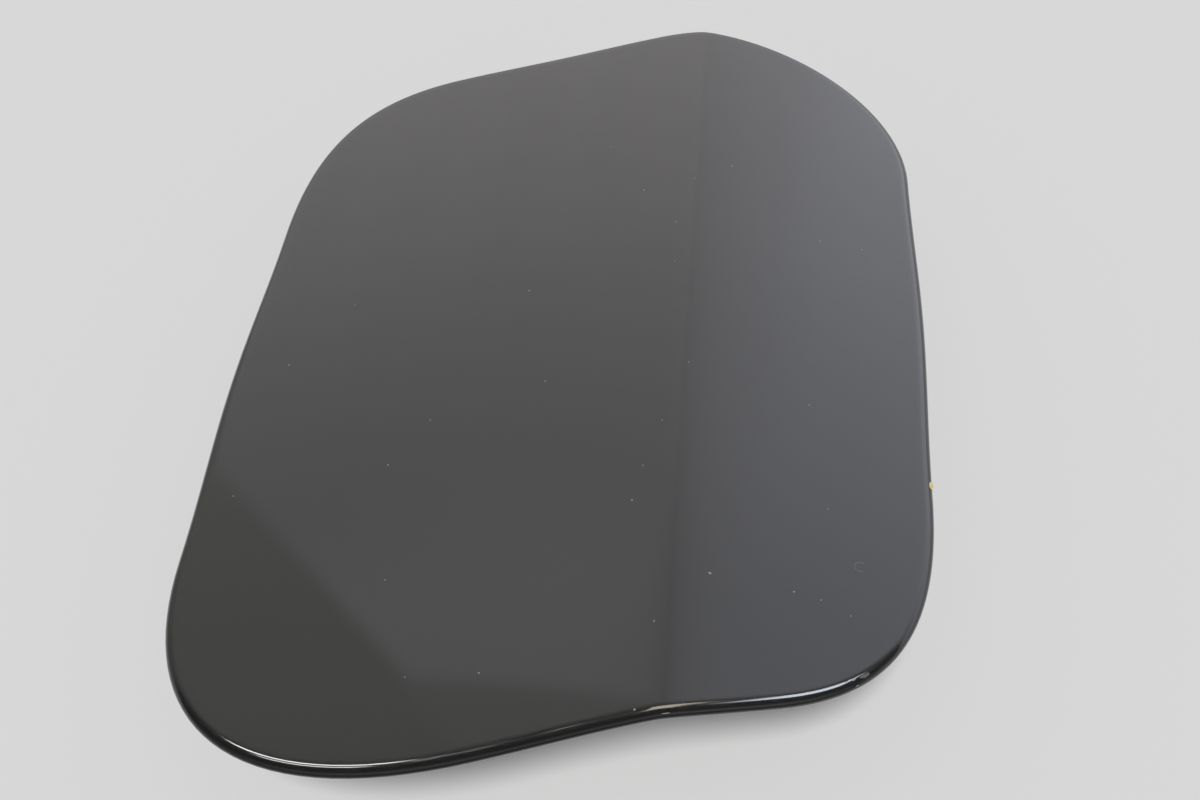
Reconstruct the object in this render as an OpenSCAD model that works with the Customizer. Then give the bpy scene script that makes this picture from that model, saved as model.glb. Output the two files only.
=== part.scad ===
// A hemmed steel fuel door on its hinge. The outer face looks up, the crease runs along Y,
// and the origin lies on the mounting face, straight under the hinge pin.

/* [Door outline] */
// Width of the face left of the crease
left_w = 91.5; // [85:0.5:100]
// Width of the face right of the crease
right_w = 49; // [45:0.5:60]
// Length along the crease
door_l = 188; // [176:0.5:210]
// Slant of the two end edges, degrees
edge_slant = 15; // [10:0.5:18]
// Reach of the near left corner along the side
near_left_side = 55.5; // [47:0.5:60]
// Reach of the near left corner along the end
near_left_end = 64; // [54:0.5:70]
// Fullness of the near left corner
near_left_full = 0.62; // [0.5:0.01:0.65]
// Reach of the near right corner along the side
near_right_side = 40.5; // [32:0.5:44]
// Reach of the near right corner along the end
near_right_end = 29.5; // [27:0.5:36]
// Fullness of the near right corner
near_right_full = 0.7; // [0.55:0.01:0.72]
// Reach of the far right corner along the side
far_right_side = 58.5; // [50:0.5:66]
// Reach of the far right corner along the end
far_right_end = 61; // [54:0.5:68]
// Fullness of the far right corner
far_right_full = 0.48; // [0.44:0.01:0.6]
// Reach of the far left corner along the side
far_left_side = 45; // [36:0.5:48]
// Reach of the far left corner along the end
far_left_end = 33.5; // [31:0.5:40]
// Fullness of the far left corner
far_left_full = 0.7; // [0.55:0.01:0.7]
// Outward bow of the left edge
left_bow = 1.2; // [0:0.1:3]
// Outward bow of the right edge
right_bow = 0.9; // [0:0.1:3]
// Inward bow of the near edge
near_bow = 0.4; // [0:0.1:1.5]
// Inward bow of the far edge
far_bow = 0.5; // [0:0.1:1.5]

/* [Door surface] */
// Fall of the left face from the crease, degrees
left_fall = 4.6; // [3:0.1:6]
// Fall of the right face from the crease, degrees
right_fall = 9.8; // [8:0.1:12.5]
// Crown radius across the left face
left_crown_r = 1300; // [1100:50:3000]
// Crown radius across the right face
right_crown_r = 2300; // [1100:50:4000]
// Crown radius along the door
length_crown_r = 3500; // [2500:100:6000]
// Place of the crown's highest point along the door
crown_y = -20; // [-40:1:40]
// Half width of the rounding on the crease
crease_soft = 1.7; // [1:0.1:8]

/* [Outer skin and hem] */
// Sheet thickness of the outer skin
skin_t = 0.8; // [0.6:0.05:1]
// Depth of the round nose of the hem
hem_nose = 1.8; // [1.4:0.1:2.2]
// Thickness over the closed hem
hem_t = 2.9; // [2.9:0.1:3.6]
// Width of the hem's return flange
hem_return = 9; // [7:0.5:10]

/* [Inner panel] */
// Sheet thickness of the inner panel
inner_t = 0.8; // [0.6:0.05:0.85]
// Width of the flat flange inside the hem's return
flange_margin = 3.7; // [3.5:0.1:5]
// Width of the sloping wall between flange and floor
wall_run = 6.5; // [5:0.5:8]
// Depth of the floor below the crease
floor_drop = 14.5; // [14.5:0.1:16]
// Radius of the lightening holes
light_hole_r = 9; // [5:0.5:9.5]
// Height of the lip turned up round a lightening hole
lip_h = 2.2; // [1.6:0.1:3]
// Half width of a stiffening bead
bead_r = 5; // [3:0.5:5.5]
// Height of a stiffening bead
bead_h = 2.4; // [1:0.1:3]
// Width of the sealer bead along the hem
sealer_w = 3; // [2:0.1:3.2]

/* [Buffers] */
// Height of a rubber buffer under the floor
buffer_h = 7; // [4:0.5:12]
// Radius of a buffer's head
buffer_r = 7; // [5:0.5:7.5]
// Radius of a buffer's stem
buffer_stem_r = 3; // [2:0.1:3.5]
// Distance of a buffer from the door's corner
buffer_in = 30; // [29:0.5:33]

/* [Hinge] */
// Place of the hinge across the door, from the crease
hinge_x = -10; // [-20:1:-6]
// Distance of the pin beyond the far edge
pivot_beyond = 17; // [15:0.5:26]
// Height of the pin above the mounting face
pivot_h = 10; // [9.5:0.5:14]
// Height of the crease above the mounting face
crease_h = 40; // [38:0.5:50]
// Opening angle of the door, degrees
open_angle = 80; // [60:1:84]
// Width of the hinge arm
arm_w = 22; // [20:1:28]
// Sheet thickness of the hinge arm
arm_t = 1.6; // [1.2:0.1:2]
// Length of the arm's pad under the floor
pad_l = 38; // [34:1:46]
// Distance from the pin to the pad
neck_l = 49; // [46:1:54]
// Depth of the dip in the arm's neck
neck_dip = 4; // [2:0.5:5]
// Radius of the arm's and bracket's eyes
eye_r = 6.5; // [6:0.1:7.5]
// Radius of the hinge pin
pin_r = 2.5; // [2:0.1:2.6]
// Radius of the pin's head
pin_head_r = 4.5; // [4:0.1:6]
// Length of the pin's head
pin_head_l = 2; // [1:0.1:3]
// Wall of a pivot bush
bush_wall = 0.95; // [0.8:0.05:1.4]
// Thickness of a bush's flange
bush_flange_t = 1; // [0.8:0.1:1.5]
// Thickness of a thrust washer
washer_t = 0.4; // [0.3:0.1:0.8]
// Wire radius of the spring
wire_r = 0.7; // [0.5:0.05:0.8]
// Number of turns in the spring
spring_turns = 8; // [5:1:9]
// Length of the spring's upper leg
upper_leg = 7; // [5:0.5:8]
// Length of the spring's lower leg
lower_leg = 14; // [10:0.5:16]

/* [Bracket] */
// Sheet thickness of the hinge bracket
bracket_t = 2; // [1.5:0.1:2.2]
// Distance between the two bolt holes
bolt_spacing = 42; // [42:1:60]
// Radius of a bolt hole
bolt_hole_r = 3.3; // [2.6:0.1:3.4]
// Length of the bracket's wings along the door
wing_l = 16; // [14:1:20]
// Length of the bracket's foot in front of the pin
foot_front = 20; // [16:1:24]
// Length of the bracket's foot behind the pin
foot_back = 10; // [9:1:14]
// Width of the stop tab
stop_w = 12; // [8:1:15]

/* [Striker] */
// Distance of the striker from the near edge
striker_in = 27; // [26:0.5:34]
// Place of the striker across the door, from the crease
striker_x = -20; // [-24:1:-14]
// Width of the striker's tongue
tongue_w = 16; // [14:1:20]
// Sheet thickness of the striker
striker_t = 2; // [1.5:0.1:2.5]
// Width of the latch window
window_w = 8; // [6:0.5:9]
// Height of the latch window
window_h = 9; // [6:0.5:10]
// Height of the sleeve on the tongue's tip
sleeve_h = 7; // [5:0.5:8]
// Wall of the sleeve on the tongue's tip
sleeve_wall = 1.2; // [1:0.1:1.5]

/* [Cap holder] */
// Place of the cap holder across the door, from the crease
holder_x = -25; // [-28:1:-22]
// Place of the cap holder along the door
holder_y = -14; // [-18:1:-6]
// Width of the cap holder
holder_w = 38; // [34:1:40]
// Length of the cap holder
holder_l = 28; // [26:1:30]
// Depth of the cap holder's fork under the floor
holder_drop = 16; // [12:0.5:17]
// Wall of the cap holder
holder_wall = 2.4; // [2:0.1:3]
// Width of the slot in the fork
slot_w = 17; // [14:0.5:18]

/* [Hidden] */

$fn = 48;
paint = [0.06, 0.06, 0.065];
primer = [0.13, 0.13, 0.14];
zinc = [0.72, 0.72, 0.70];
rubber = [0.10, 0.10, 0.10];

// clearances between pieces
seat = 0.02;
running = 0.05;
moving = 0.3;
sheet_gap = 0.25;

// places that follow from the sizes above
slope = tan(edge_slant);
function near_y(x) = -door_l / 2 + slope * x;
function far_y(x) = door_l / 2 + slope * x;
pivot_y = far_y(hinge_x) + pivot_beyond;
floor_z = crease_h - floor_drop - inner_t;
hem_inner = hem_nose + hem_return;
flange_in = hem_inner + flange_margin;
floor_in = flange_in + wall_run;

// a corner of the outline: its start on the side, two handles and its end on the end edge
function corner(x, end, side, reach_side, reach_end, full) =
    let (v = [x, end * door_l / 2 + slope * x], a = v - [0, end * reach_side],
         b = v - side * reach_end * [cos(edge_slant), sin(edge_slant)])
    [a, a + (v - a) * full, b + (v - b) * full, b];
near_left = corner(-left_w, -1, -1, near_left_side, near_left_end, near_left_full);
near_right = corner(right_w, -1, 1, near_right_side, near_right_end, near_right_full);
far_right = corner(right_w, 1, 1, far_right_side, far_right_end, far_right_full);
far_left = corner(-left_w, 1, -1, far_left_side, far_left_end, far_left_full);

function on_curve(c, t) = c[0] * pow(1 - t, 3) + c[1] * 3 * t * pow(1 - t, 2)
    + c[2] * 3 * t * t * (1 - t) + c[3] * pow(t, 3);
function curve(c, n) = [for (i = [0:n]) on_curve(c, i / n)];
function reversed(c) = [for (i = [len(c) - 1:-1:0]) c[i]];
function bowed(p, q, bow, n) =
    [for (i = [1:n - 1]) let (t = i / n) p + (q - p) * t + bow * pow(sin(180 * t), 2)];
function last(list) = list[len(list) - 1];

corner_steps = 14;
arc_nl = curve(near_left, corner_steps);
arc_nr = curve(reversed(near_right), corner_steps);
arc_fr = curve(far_right, corner_steps);
arc_fl = curve(reversed(far_left), corner_steps);
plain_outline = concat(
    arc_nl, bowed(last(arc_nl), arc_nr[0], [0, near_bow], 6),
    arc_nr, bowed(last(arc_nr), arc_fr[0], [right_bow, 0], 8),
    arc_fr, bowed(last(arc_fr), arc_fl[0], [0, -far_bow], 6),
    arc_fl, bowed(last(arc_fl), arc_nl[0], [-left_bow, 0], 9));

// the outline gets a point where it crosses the crease and the edges of the crease's rounding
crease_lines = [for (k = [-2, -1, -0.5, 0, 0.5, 1, 2]) k * crease_soft];
min_step = 0.3;
count_plain = len(plain_outline);
plain_normals = [for (i = [0:count_plain - 1])
    let (a = plain_outline[i] - plain_outline[(i + count_plain - 1) % count_plain],
         b = plain_outline[(i + 1) % count_plain] - plain_outline[i],
         d = a * norm(b) / norm(a) + b * norm(a) / norm(b)) [d[1], -d[0]] / norm(d)];
function crossings(i) =
    let (k = (i + 1) % count_plain, p = plain_outline[i], q = plain_outline[k],
         way = q[0] > p[0] ? 1 : -1, n = len(crease_lines))
    [for (j = [0:n - 1])
        let (x = crease_lines[way > 0 ? j : n - 1 - j], t = (x - p[0]) / (q[0] - p[0]),
             m = plain_normals[i] * (1 - t) + plain_normals[k] * t)
        if ((x - p[0]) * way > min_step && (q[0] - x) * way > min_step)
            [p + (q - p) * t, m / norm(m)]];
marks = [for (i = [0:count_plain - 1])
    each concat([[plain_outline[i], plain_normals[i]]], crossings(i))];
outline = [for (m = marks) m[0]];
normals = [for (m = marks) m[1]];
count = len(outline);

// height of the outer face, from zero on the crease's highest point
function face_height(x, y) =
    let (fall = x < 0 ? left_fall : right_fall, crown = x < 0 ? left_crown_r : right_crown_r)
    -tan(fall) * (sqrt(x * x + crease_soft * crease_soft) - crease_soft)
    - x * x / (2 * crown) - pow(y - crown_y, 2) / (2 * length_crown_r);

// rings of points: set in from the edge and lowered from the surface, shrunk to the middle, or flat
function inset(i, u) = outline[i] - normals[i] * u;
function lift(p, w) = [p[0], p[1], face_height(p[0], p[1]) - w];
function edge_ring(u, w) = [for (i = [0:count - 1]) lift(inset(i, u), w)];
function inner_ring(s, u, w) = [for (i = [0:count - 1]) lift(inset(i, u) * s, w)];
function flat_ring(u, z) = [for (i = [0:count - 1]) let (p = inset(i, u)) [p[0], p[1], z]];
function nose(rx, rz, a, b, n) = [for (i = [0:n])
    let (t = a + (b - a) * i / n) [hem_nose - rx * cos(t), hem_t / 2 - rz * sin(t)]];

// a solid through rings of equal count, closed on itself, by flat ends or by two middle points
module loft(rings, middles = [], closed = false) {
    m = len(rings);
    n = len(rings[0]);
    fans = len(middles) == 2;
    joins = closed ? m - 1 : m - 2;
    sides = [for (r = [0:joins], j = [0:n - 1])
        let (a = r * n + j, b = r * n + (j + 1) % n, c = ((r + 1) % m) * n + (j + 1) % n,
             d = ((r + 1) % m) * n + j)
        each [[a, b, c], [a, c, d]]];
    first_end = fans ? [for (j = [0:n - 1]) [m * n, (j + 1) % n, j]] : [[for (j = [n - 1:-1:0]) j]];
    last_end = fans ? [for (j = [0:n - 1]) [m * n + 1, (m - 1) * n + j, (m - 1) * n + (j + 1) % n]]
                    : [[for (j = [0:n - 1]) (m - 1) * n + j]];
    polyhedron(points = concat([for (r = rings) each r], middles),
               faces = closed ? sides : concat(sides, first_end, last_end), convexity = 6);
}

module on_door() translate([-hinge_x, -pivot_y, crease_h]) children();
module at_floor(p) translate([p[0] - hinge_x, p[1] - pivot_y, floor_z]) children();
module across() rotate([90, 0, 90]) children();
module mirrored() {
    children();
    mirror([1, 0, 0]) children();
}
module rounded_plate(w, l, r) {
    square([w - 2 * r, l], center = true);
    square([w, l - 2 * r], center = true);
    for (x = [-1, 1], y = [-1, 1]) translate([x * (w / 2 - r), y * (l / 2 - r)]) circle(r);
}

// outer skin: crowned and creased face, round nose and the return flange folded under
face_shares = [0.22, 0.42, 0.6, 0.76, 0.9];
module outer_skin() color(paint) on_door()
    loft(concat(
            [for (s = face_shares) inner_ring(s, hem_nose, 0)],
            [for (e = nose(hem_nose, hem_t / 2, 90, -90, 8)) edge_ring(e[0], e[1])],
            [edge_ring(hem_inner, hem_t), edge_ring(hem_inner, hem_t - skin_t)],
            [for (e = nose(hem_nose - skin_t, hem_t / 2 - skin_t, -90, 90, 4)) edge_ring(e[0], e[1])],
            [for (k = [len(face_shares) - 1:-1:0]) inner_ring(face_shares[k], hem_nose, skin_t)]),
         middles = [lift([0, 0], 0), lift([0, 0], skin_t)]);

// inner panel: flange inside the hem, sloping wall and flat floor with its holes
flange_top = skin_t + sheet_gap;
flange_edge = hem_nose - skin_t + inner_t / 2;
buffer_points = [for (c = [near_left, near_right, far_right, far_left])
    let (bend = on_curve(c, 0.5), inward = (c[0] + c[3]) / 2 - bend)
    bend + buffer_in * inward / norm(inward)];
light_points = [[holder_x - 32, -34], [holder_x - 32, 6], [holder_x + 38, -20], [holder_x + 38, 16]];
// each bead runs along the door: its place across, its start and its end
beads = [[holder_x - 13, 12, 50], [holder_x - 17, -58, -38]];
pad_y = pivot_y - neck_l - pad_l / 2;
arm_screw_points = [for (p = [[-6, -12], [6, -12], [0, 8]]) [hinge_x + p[0], pad_y + p[1]]];
screw_r = 2.5;
screw_hole_r = 2.8;
striker_y = near_y(striker_x) + striker_in;
striker_l = 20;
rivet_r = 2.2;
rivet_points = [for (x = [-1, 1]) [striker_x + x * 8, striker_y + striker_l / 2 + 1]];
holder_screw_r = 2;
holder_screw_points = [for (x = [-1, 1]) [holder_x + x * (holder_w / 2 - 6), holder_y]];

module floor_hole(p, r) translate(p) circle(r);

// lip turned up round a lightening hole, with a round bend from the floor
lip_bend = 1.2;
function bend_arc(r, z, radius) = [for (k = [0:3]) let (a = 90 * k / 3)
    [r - radius * sin(a), z + radius * (1 - cos(a))]];
module hole_lip() rotate_extrude() polygon(concat(
    bend_arc(light_hole_r + lip_bend, 0, lip_bend),
    [[light_hole_r, lip_h], [light_hole_r + inner_t, lip_h]],
    reversed(bend_arc(light_hole_r + lip_bend, inner_t, lip_bend - inner_t))));

// stiffening bead pressed up from the floor, with a flat crest and round ends
bead_steps = 6;
bead_crest = 1.2;
bead_side = [for (k = [0:bead_steps])
    [bead_crest + (bead_r - bead_crest) * k / bead_steps, bead_h * (1 + cos(180 * k / bead_steps)) / 2]];
bead_half = concat([[0, bead_h + inner_t]], [for (p = bead_side) p + [0, inner_t]],
                   reversed(bead_side), [[0, bead_h]]);
module bead(l) {
    translate([0, l / 2, 0]) rotate([90, 0, 0]) linear_extrude(l) {
        polygon(bead_half);
        mirror([1, 0]) polygon(bead_half);
    }
    translate([0, l / 2, 0]) rotate_extrude(angle = 180) polygon(bead_half);
    translate([0, -l / 2, 0]) rotate([0, 0, 180]) rotate_extrude(angle = 180) polygon(bead_half);
}

module inner_panel() color(primer) on_door() {
    loft([flat_ring(floor_in, -floor_drop),
          edge_ring(flange_in, flange_top), edge_ring(hem_inner, flange_top),
          edge_ring(flange_edge, flange_top), edge_ring(flange_edge, flange_top + inner_t),
          edge_ring(hem_inner, flange_top + inner_t), edge_ring(flange_in, flange_top + inner_t),
          flat_ring(floor_in, -floor_drop - inner_t)], closed = true);
    translate([0, 0, -floor_drop - inner_t]) {
        linear_extrude(inner_t) difference() {
            polygon([for (i = [0:count - 1]) inset(i, floor_in)]);
            for (p = light_points) floor_hole(p, light_hole_r + lip_bend);
            for (b = beads) translate([b[0], (b[1] + b[2]) / 2]) {
                square([2 * bead_r, b[2] - b[1]], center = true);
                for (y = [-1, 1]) translate([0, y * (b[2] - b[1]) / 2]) circle(bead_r);
            }
            for (p = buffer_points) floor_hole(p, buffer_stem_r + running);
            for (p = arm_screw_points) floor_hole(p, screw_hole_r);
            for (p = rivet_points) floor_hole(p, rivet_r + running);
            for (p = holder_screw_points) floor_hole(p, holder_screw_r + running);
        }
        for (p = light_points) translate(p) hole_lip();
        for (b = beads) translate([b[0], (b[1] + b[2]) / 2]) bead(b[2] - b[1]);
    }
}

// bead of sealer in the corner between the return flange and the inner panel
module seam_sealer() color([0.2, 0.2, 0.2]) on_door() {
    top = flange_top + inner_t + running;
    start = hem_inner + running;
    loft([edge_ring(start, top), edge_ring(start, hem_t), edge_ring(start + sealer_w * 0.4, hem_t - 0.2),
          edge_ring(start + sealer_w, top)], closed = true);
}

module bump_stops() color(rubber) for (p = buffer_points) at_floor(p)
    rotate_extrude() polygon([
        [0, -buffer_h], [buffer_r - 2, -buffer_h], [buffer_r - 0.6, -buffer_h + 0.6],
        [buffer_r, -buffer_h + 2], [buffer_r, -seat], [buffer_stem_r, -seat],
        [buffer_stem_r, inner_t + seat], [buffer_stem_r + 1, inner_t + seat],
        [buffer_stem_r + 1, inner_t + 1], [buffer_stem_r - 1, inner_t + 3.5], [0, inner_t + 3.5]]);

// striker: riveted plate with a tongue that drops to the latch
tongue_l = floor_z - sleeve_wall - seat;
module striker() color(zinc) at_floor([striker_x, striker_y]) difference() {
    union() {
        translate([0, striker_l / 2, -striker_t - seat]) linear_extrude(striker_t)
            rounded_plate(tongue_w + 12, striker_l, 3);
        translate([0, striker_t, 0]) rotate([90, 0, 0]) linear_extrude(striker_t)
            translate([0, -tongue_l / 2 - seat]) rounded_plate(tongue_w, tongue_l, 2);
    }
    for (p = rivet_points) translate([p[0] - striker_x, p[1] - striker_y, -2 * striker_t])
        cylinder(r = rivet_r + running, h = 3 * striker_t);
    translate([0, striker_t / 2, -tongue_l / 2]) cube([window_w, 3 * striker_t, window_h], center = true);
}

module striker_sleeve() color([0.85, 0.85, 0.82]) at_floor([striker_x, striker_y]) {
    outer_w = tongue_w + 2 * (sleeve_wall + running);
    outer_l = striker_t + 2 * (sleeve_wall + running);
    translate([0, striker_t / 2, -floor_z]) difference() {
        linear_extrude(sleeve_h) rounded_plate(outer_w, outer_l, 1.2);
        translate([0, 0, sleeve_h / 2 + sleeve_wall])
            cube([tongue_w + 2 * running, striker_t + 2 * running, sleeve_h], center = true);
    }
}

module rivet(grip, r) rotate_extrude() polygon([
    [0, -grip - 1.6], [r, -grip - 1.4], [1.9 * r, -grip - 0.5], [1.9 * r, -grip - seat],
    [r, -grip - seat], [r, inner_t + seat], [1.7 * r, inner_t + seat],
    [1.5 * r, inner_t + 1], [r, inner_t + 1.4], [0, inner_t + 1.4]]);
module striker_rivets() color(zinc) for (p = rivet_points) at_floor(p) rivet(striker_t + seat, rivet_r);

// cap holder: a base under the floor, a back wall, two ribs and a fork that takes the cap's neck
rib_l = 4;
rib_back = holder_l / 2 - 1;
module cap_holder() color(rubber) at_floor([holder_x, holder_y]) difference() {
    union() {
        translate([0, 0, -holder_wall - seat]) linear_extrude(holder_wall)
            rounded_plate(holder_w, holder_l, 4);
        translate([-holder_w / 2 + 2, holder_l / 2 - holder_wall, -holder_drop - holder_wall])
            cube([holder_w - 4, holder_wall, holder_drop + holder_wall - seat]);
        translate([0, 0, -holder_drop - holder_wall]) linear_extrude(holder_wall) difference() {
            rounded_plate(holder_w, holder_l, 5);
            circle(slot_w / 2);
            translate([-slot_w / 2 + 0.8, -holder_l]) square([slot_w - 1.6, holder_l]);
        }
        mirrored() translate([holder_w / 2 - 2 - holder_wall, 0, 0]) across() linear_extrude(holder_wall)
            polygon([[rib_back, -holder_wall / 2], [rib_back, -holder_drop - holder_wall / 2],
                     [rib_back - rib_l - 2, -holder_drop - holder_wall / 2],
                     [rib_back - rib_l, -holder_drop + 3], [rib_back - rib_l, -holder_wall - 3],
                     [rib_back - rib_l - 4, -holder_wall / 2]]);
    }
    for (p = holder_screw_points) translate([p[0] - holder_x, 0, -2 * holder_wall])
        cylinder(r = holder_screw_r + running, h = 3 * holder_wall);
}

holder_screw_l = 7;
holder_head_r = 3.8;
module cap_holder_screws() color(zinc) for (p = holder_screw_points) at_floor(p)
    rotate_extrude() polygon([
        [0, -holder_wall - 2], [holder_head_r - 0.8, -holder_wall - 1.6],
        [holder_head_r, -holder_wall - 2 * seat], [holder_screw_r, -holder_wall - 2 * seat],
        [holder_screw_r, holder_screw_l - 2], [0, holder_screw_l]]);

// hinge arm: pad under the floor, dipped neck and two cheeks with the eyes
spring_wall = 0.6;
coil_r = pin_r + 2 * running + spring_wall + 0.2 + wire_r;
web_z = coil_r + wire_r + 0.5 + arm_t / 2;
pad_z = floor_z - pivot_h - arm_t / 2 - seat;
dip_z = web_z - neck_dip;
web_end = 4;
cheek_in = arm_w / 2 - arm_t;
function fillet(p, q, s, r) =
    let (u = (p - q) / norm(p - q), v = (s - q) / norm(s - q), half = acos(u * v) / 2,
         cut = r / tan(half), a = q + u * cut, b = q + v * cut)
    [for (t = [0:0.25:1]) a * pow(1 - t, 2) + q * 2 * t * (1 - t) + b * t * t];
bends = [[-neck_l - pad_l, pad_z], [-neck_l, pad_z], [-28, dip_z], [-18, dip_z], [-9, web_z], [web_end, web_z]];
bend_r = 8;
web_path = concat([bends[0]],
    [for (i = [1:len(bends) - 2]) each fillet(bends[i - 1], bends[i], bends[i + 1],
        i == 1 ? 2 * bend_r : bend_r)],
    [last(bends)]);
function path_normal(path, i) =
    let (d = path[min(i + 1, len(path) - 1)] - path[max(i - 1, 0)]) [-d[1], d[0]] / norm(d);
function strip(path, t) = concat(
    [for (i = [0:len(path) - 1]) path[i] + path_normal(path, i) * t / 2],
    [for (i = [len(path) - 1:-1:0]) path[i] - path_normal(path, i) * t / 2]);
cheek_start = neck_l + 10;
cheek_low = concat(curve([[-cheek_start, pad_z], [-neck_l + 8, pad_z], [-neck_l + 8, -eye_r], [-10, -eye_r]], 12),
                   [[0, -eye_r], [web_end, web_z]]);
cheek_outline = concat(cheek_low,
    [for (i = [len(web_path) - 1:-1:0]) if (web_path[i][0] > -cheek_start && web_path[i][0] < web_end) web_path[i]]);
bush_r = pin_r + running + bush_wall;

module hinge_arm() color(primer) translate([0, 0, pivot_h]) difference() {
    union() {
        across() linear_extrude(arm_w, center = true) polygon(strip(web_path, arm_t));
        mirrored() across() translate([0, 0, cheek_in]) linear_extrude(arm_t) {
            polygon(cheek_outline);
            circle(eye_r);
        }
    }
    rotate([0, 90, 0]) cylinder(r = bush_r + running / 2, h = 2 * arm_w, center = true);
    for (p = arm_screw_points) translate([p[0] - hinge_x, p[1] - pivot_y, pad_z - arm_t])
        cylinder(r = screw_hole_r, h = 2 * arm_t);
}

screw_head_r = 4;
screw_head_h = 4;
screw_flange_r = 5.4;
module arm_screws() color(zinc) for (p = arm_screw_points) at_floor(p) translate([0, 0, -arm_t - 2 * seat])
    rotate_extrude() polygon([
        [0, -screw_head_h], [screw_head_r - 0.4, -screw_head_h], [screw_head_r, 0.4 - screw_head_h],
        [screw_head_r, -1.2], [screw_flange_r, -0.9], [screw_flange_r, 0], [screw_r, 0],
        [screw_r, arm_t + inner_t + nut_h + 1], [screw_r - 0.6, arm_t + inner_t + nut_h + 1.6],
        [0, arm_t + inner_t + nut_h + 1.6]]);

nut_h = 4;
nut_r = 4.6;
module arm_weld_nuts() color(zinc) for (p = arm_screw_points) at_floor(p) translate([0, 0, inner_t + seat])
    difference() {
        union() {
            cylinder(r = nut_r, h = nut_h, $fn = 6);
            cylinder(r = nut_r + 1, h = 0.9);
        }
        translate([0, 0, -1]) cylinder(r = screw_r + running, h = nut_h + 2);
    }

bush_flange_r = eye_r - 1;
flange_start = arm_w / 2 + running;
module pivot_bushes() color([0.88, 0.86, 0.8]) translate([0, 0, pivot_h]) mirrored() rotate([0, 90, 0])
    difference() {
        union() {
            translate([0, 0, cheek_in]) cylinder(r = bush_r, h = arm_t + running + bush_flange_t / 2);
            translate([0, 0, flange_start]) cylinder(r = bush_flange_r, h = bush_flange_t);
        }
        cylinder(r = pin_r + running, h = arm_w);
    }

// hinge bracket: foot with two bolt wings, two ears and the stop tab
washer_start = flange_start + bush_flange_t + running;
ear_in = washer_start + washer_t + running;
ear_out = ear_in + bracket_t;
function turned(p, a) = [p[0] * cos(a) + p[1] * sin(a), -p[0] * sin(a) + p[1] * cos(a)];
stop_touch = turned([web_end, web_z - arm_t / 2], open_angle);
stop_cap = 1;
tab_t = bracket_t - 0.4;
tab_top = pivot_h + stop_touch[1] - moving - stop_cap;
module ear_outline() {
    circle(eye_r);
    polygon([[-eye_r, 0], [eye_r, 0], [foot_back - 1, bracket_t / 2 - pivot_h],
             [-foot_front + 6, bracket_t / 2 - pivot_h]]);
}
module hinge_bracket() color(zinc) difference() {
    union() {
        linear_extrude(bracket_t) {
            translate([0, (foot_back - foot_front) / 2])
                rounded_plate(2 * ear_out, foot_back + foot_front, 2);
            rounded_plate(bolt_spacing + 14, wing_l, 5);
        }
        mirrored() translate([ear_in, 0, pivot_h]) across() linear_extrude(bracket_t) ear_outline();
        translate([-stop_w / 2, stop_touch[0] - tab_t / 2, bracket_t / 2])
            cube([stop_w, tab_t, tab_top - bracket_t / 2]);
    }
    translate([0, 0, pivot_h]) rotate([0, 90, 0])
        cylinder(r = pin_r + running / 2, h = 2 * ear_out + 2, center = true);
    for (x = [-1, 1]) translate([x * bolt_spacing / 2, 0, -1]) cylinder(r = bolt_hole_r, h = bracket_t + 2);
}

module stop_buffer() color(rubber) translate([0, stop_touch[0], 0]) difference() {
    translate([-stop_w / 2 - 1, -tab_t / 2 - 0.8, tab_top - 2.2])
        cube([stop_w + 2, tab_t + 1.6, 2.2 + stop_cap]);
    translate([-stop_w / 2 - seat, -tab_t / 2 - seat, 0])
        cube([stop_w + 2 * seat, tab_t + 2 * seat, tab_top + seat]);
}

// hinge pin with its head on the right and a clip groove on the left
clip_t = 0.7;
groove_r = pin_r - 0.6;
groove_start = ear_out + 0.2;
module hinge_pin() color(zinc) translate([0, 0, pivot_h]) rotate([0, 90, 0]) rotate_extrude() polygon([
    [0, -groove_start - clip_t - 2], [pin_r - 0.5, -groove_start - clip_t - 2],
    [pin_r, -groove_start - clip_t - 1.5], [pin_r, -groove_start - clip_t - 0.1],
    [groove_r, -groove_start - clip_t - 0.1], [groove_r, -groove_start], [pin_r, -groove_start],
    [pin_r, ear_out + seat], [pin_head_r, ear_out + seat], [pin_head_r, ear_out + pin_head_l - 0.5],
    [pin_head_r - 0.8, ear_out + pin_head_l], [0, ear_out + pin_head_l]]);

module pin_clip() color(zinc) translate([-groove_start - 0.05, 0, pivot_h]) rotate([0, -90, 0])
    linear_extrude(clip_t - 0.05) difference() {
        circle(pin_r + 2);
        circle(groove_r + 0.05);
        translate([-3 * pin_r, -groove_r * 0.8]) square([3 * pin_r, groove_r * 1.6]);
    }

module thrust_washers() color(zinc) translate([0, 0, pivot_h]) mirrored() rotate([0, 90, 0])
    translate([0, 0, washer_start]) difference() {
        cylinder(r = bush_flange_r, h = washer_t);
        translate([0, 0, -1]) cylinder(r = pin_r + running, h = washer_t + 2);
    }

sleeve_l = 2 * cheek_in - 0.4;
module spring_sleeve() color([0.88, 0.86, 0.8]) translate([0, 0, pivot_h]) rotate([0, 90, 0]) difference() {
    cylinder(r = pin_r + running + spring_wall, h = sleeve_l, center = true);
    cylinder(r = pin_r + running, h = sleeve_l + 2, center = true);
}

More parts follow.
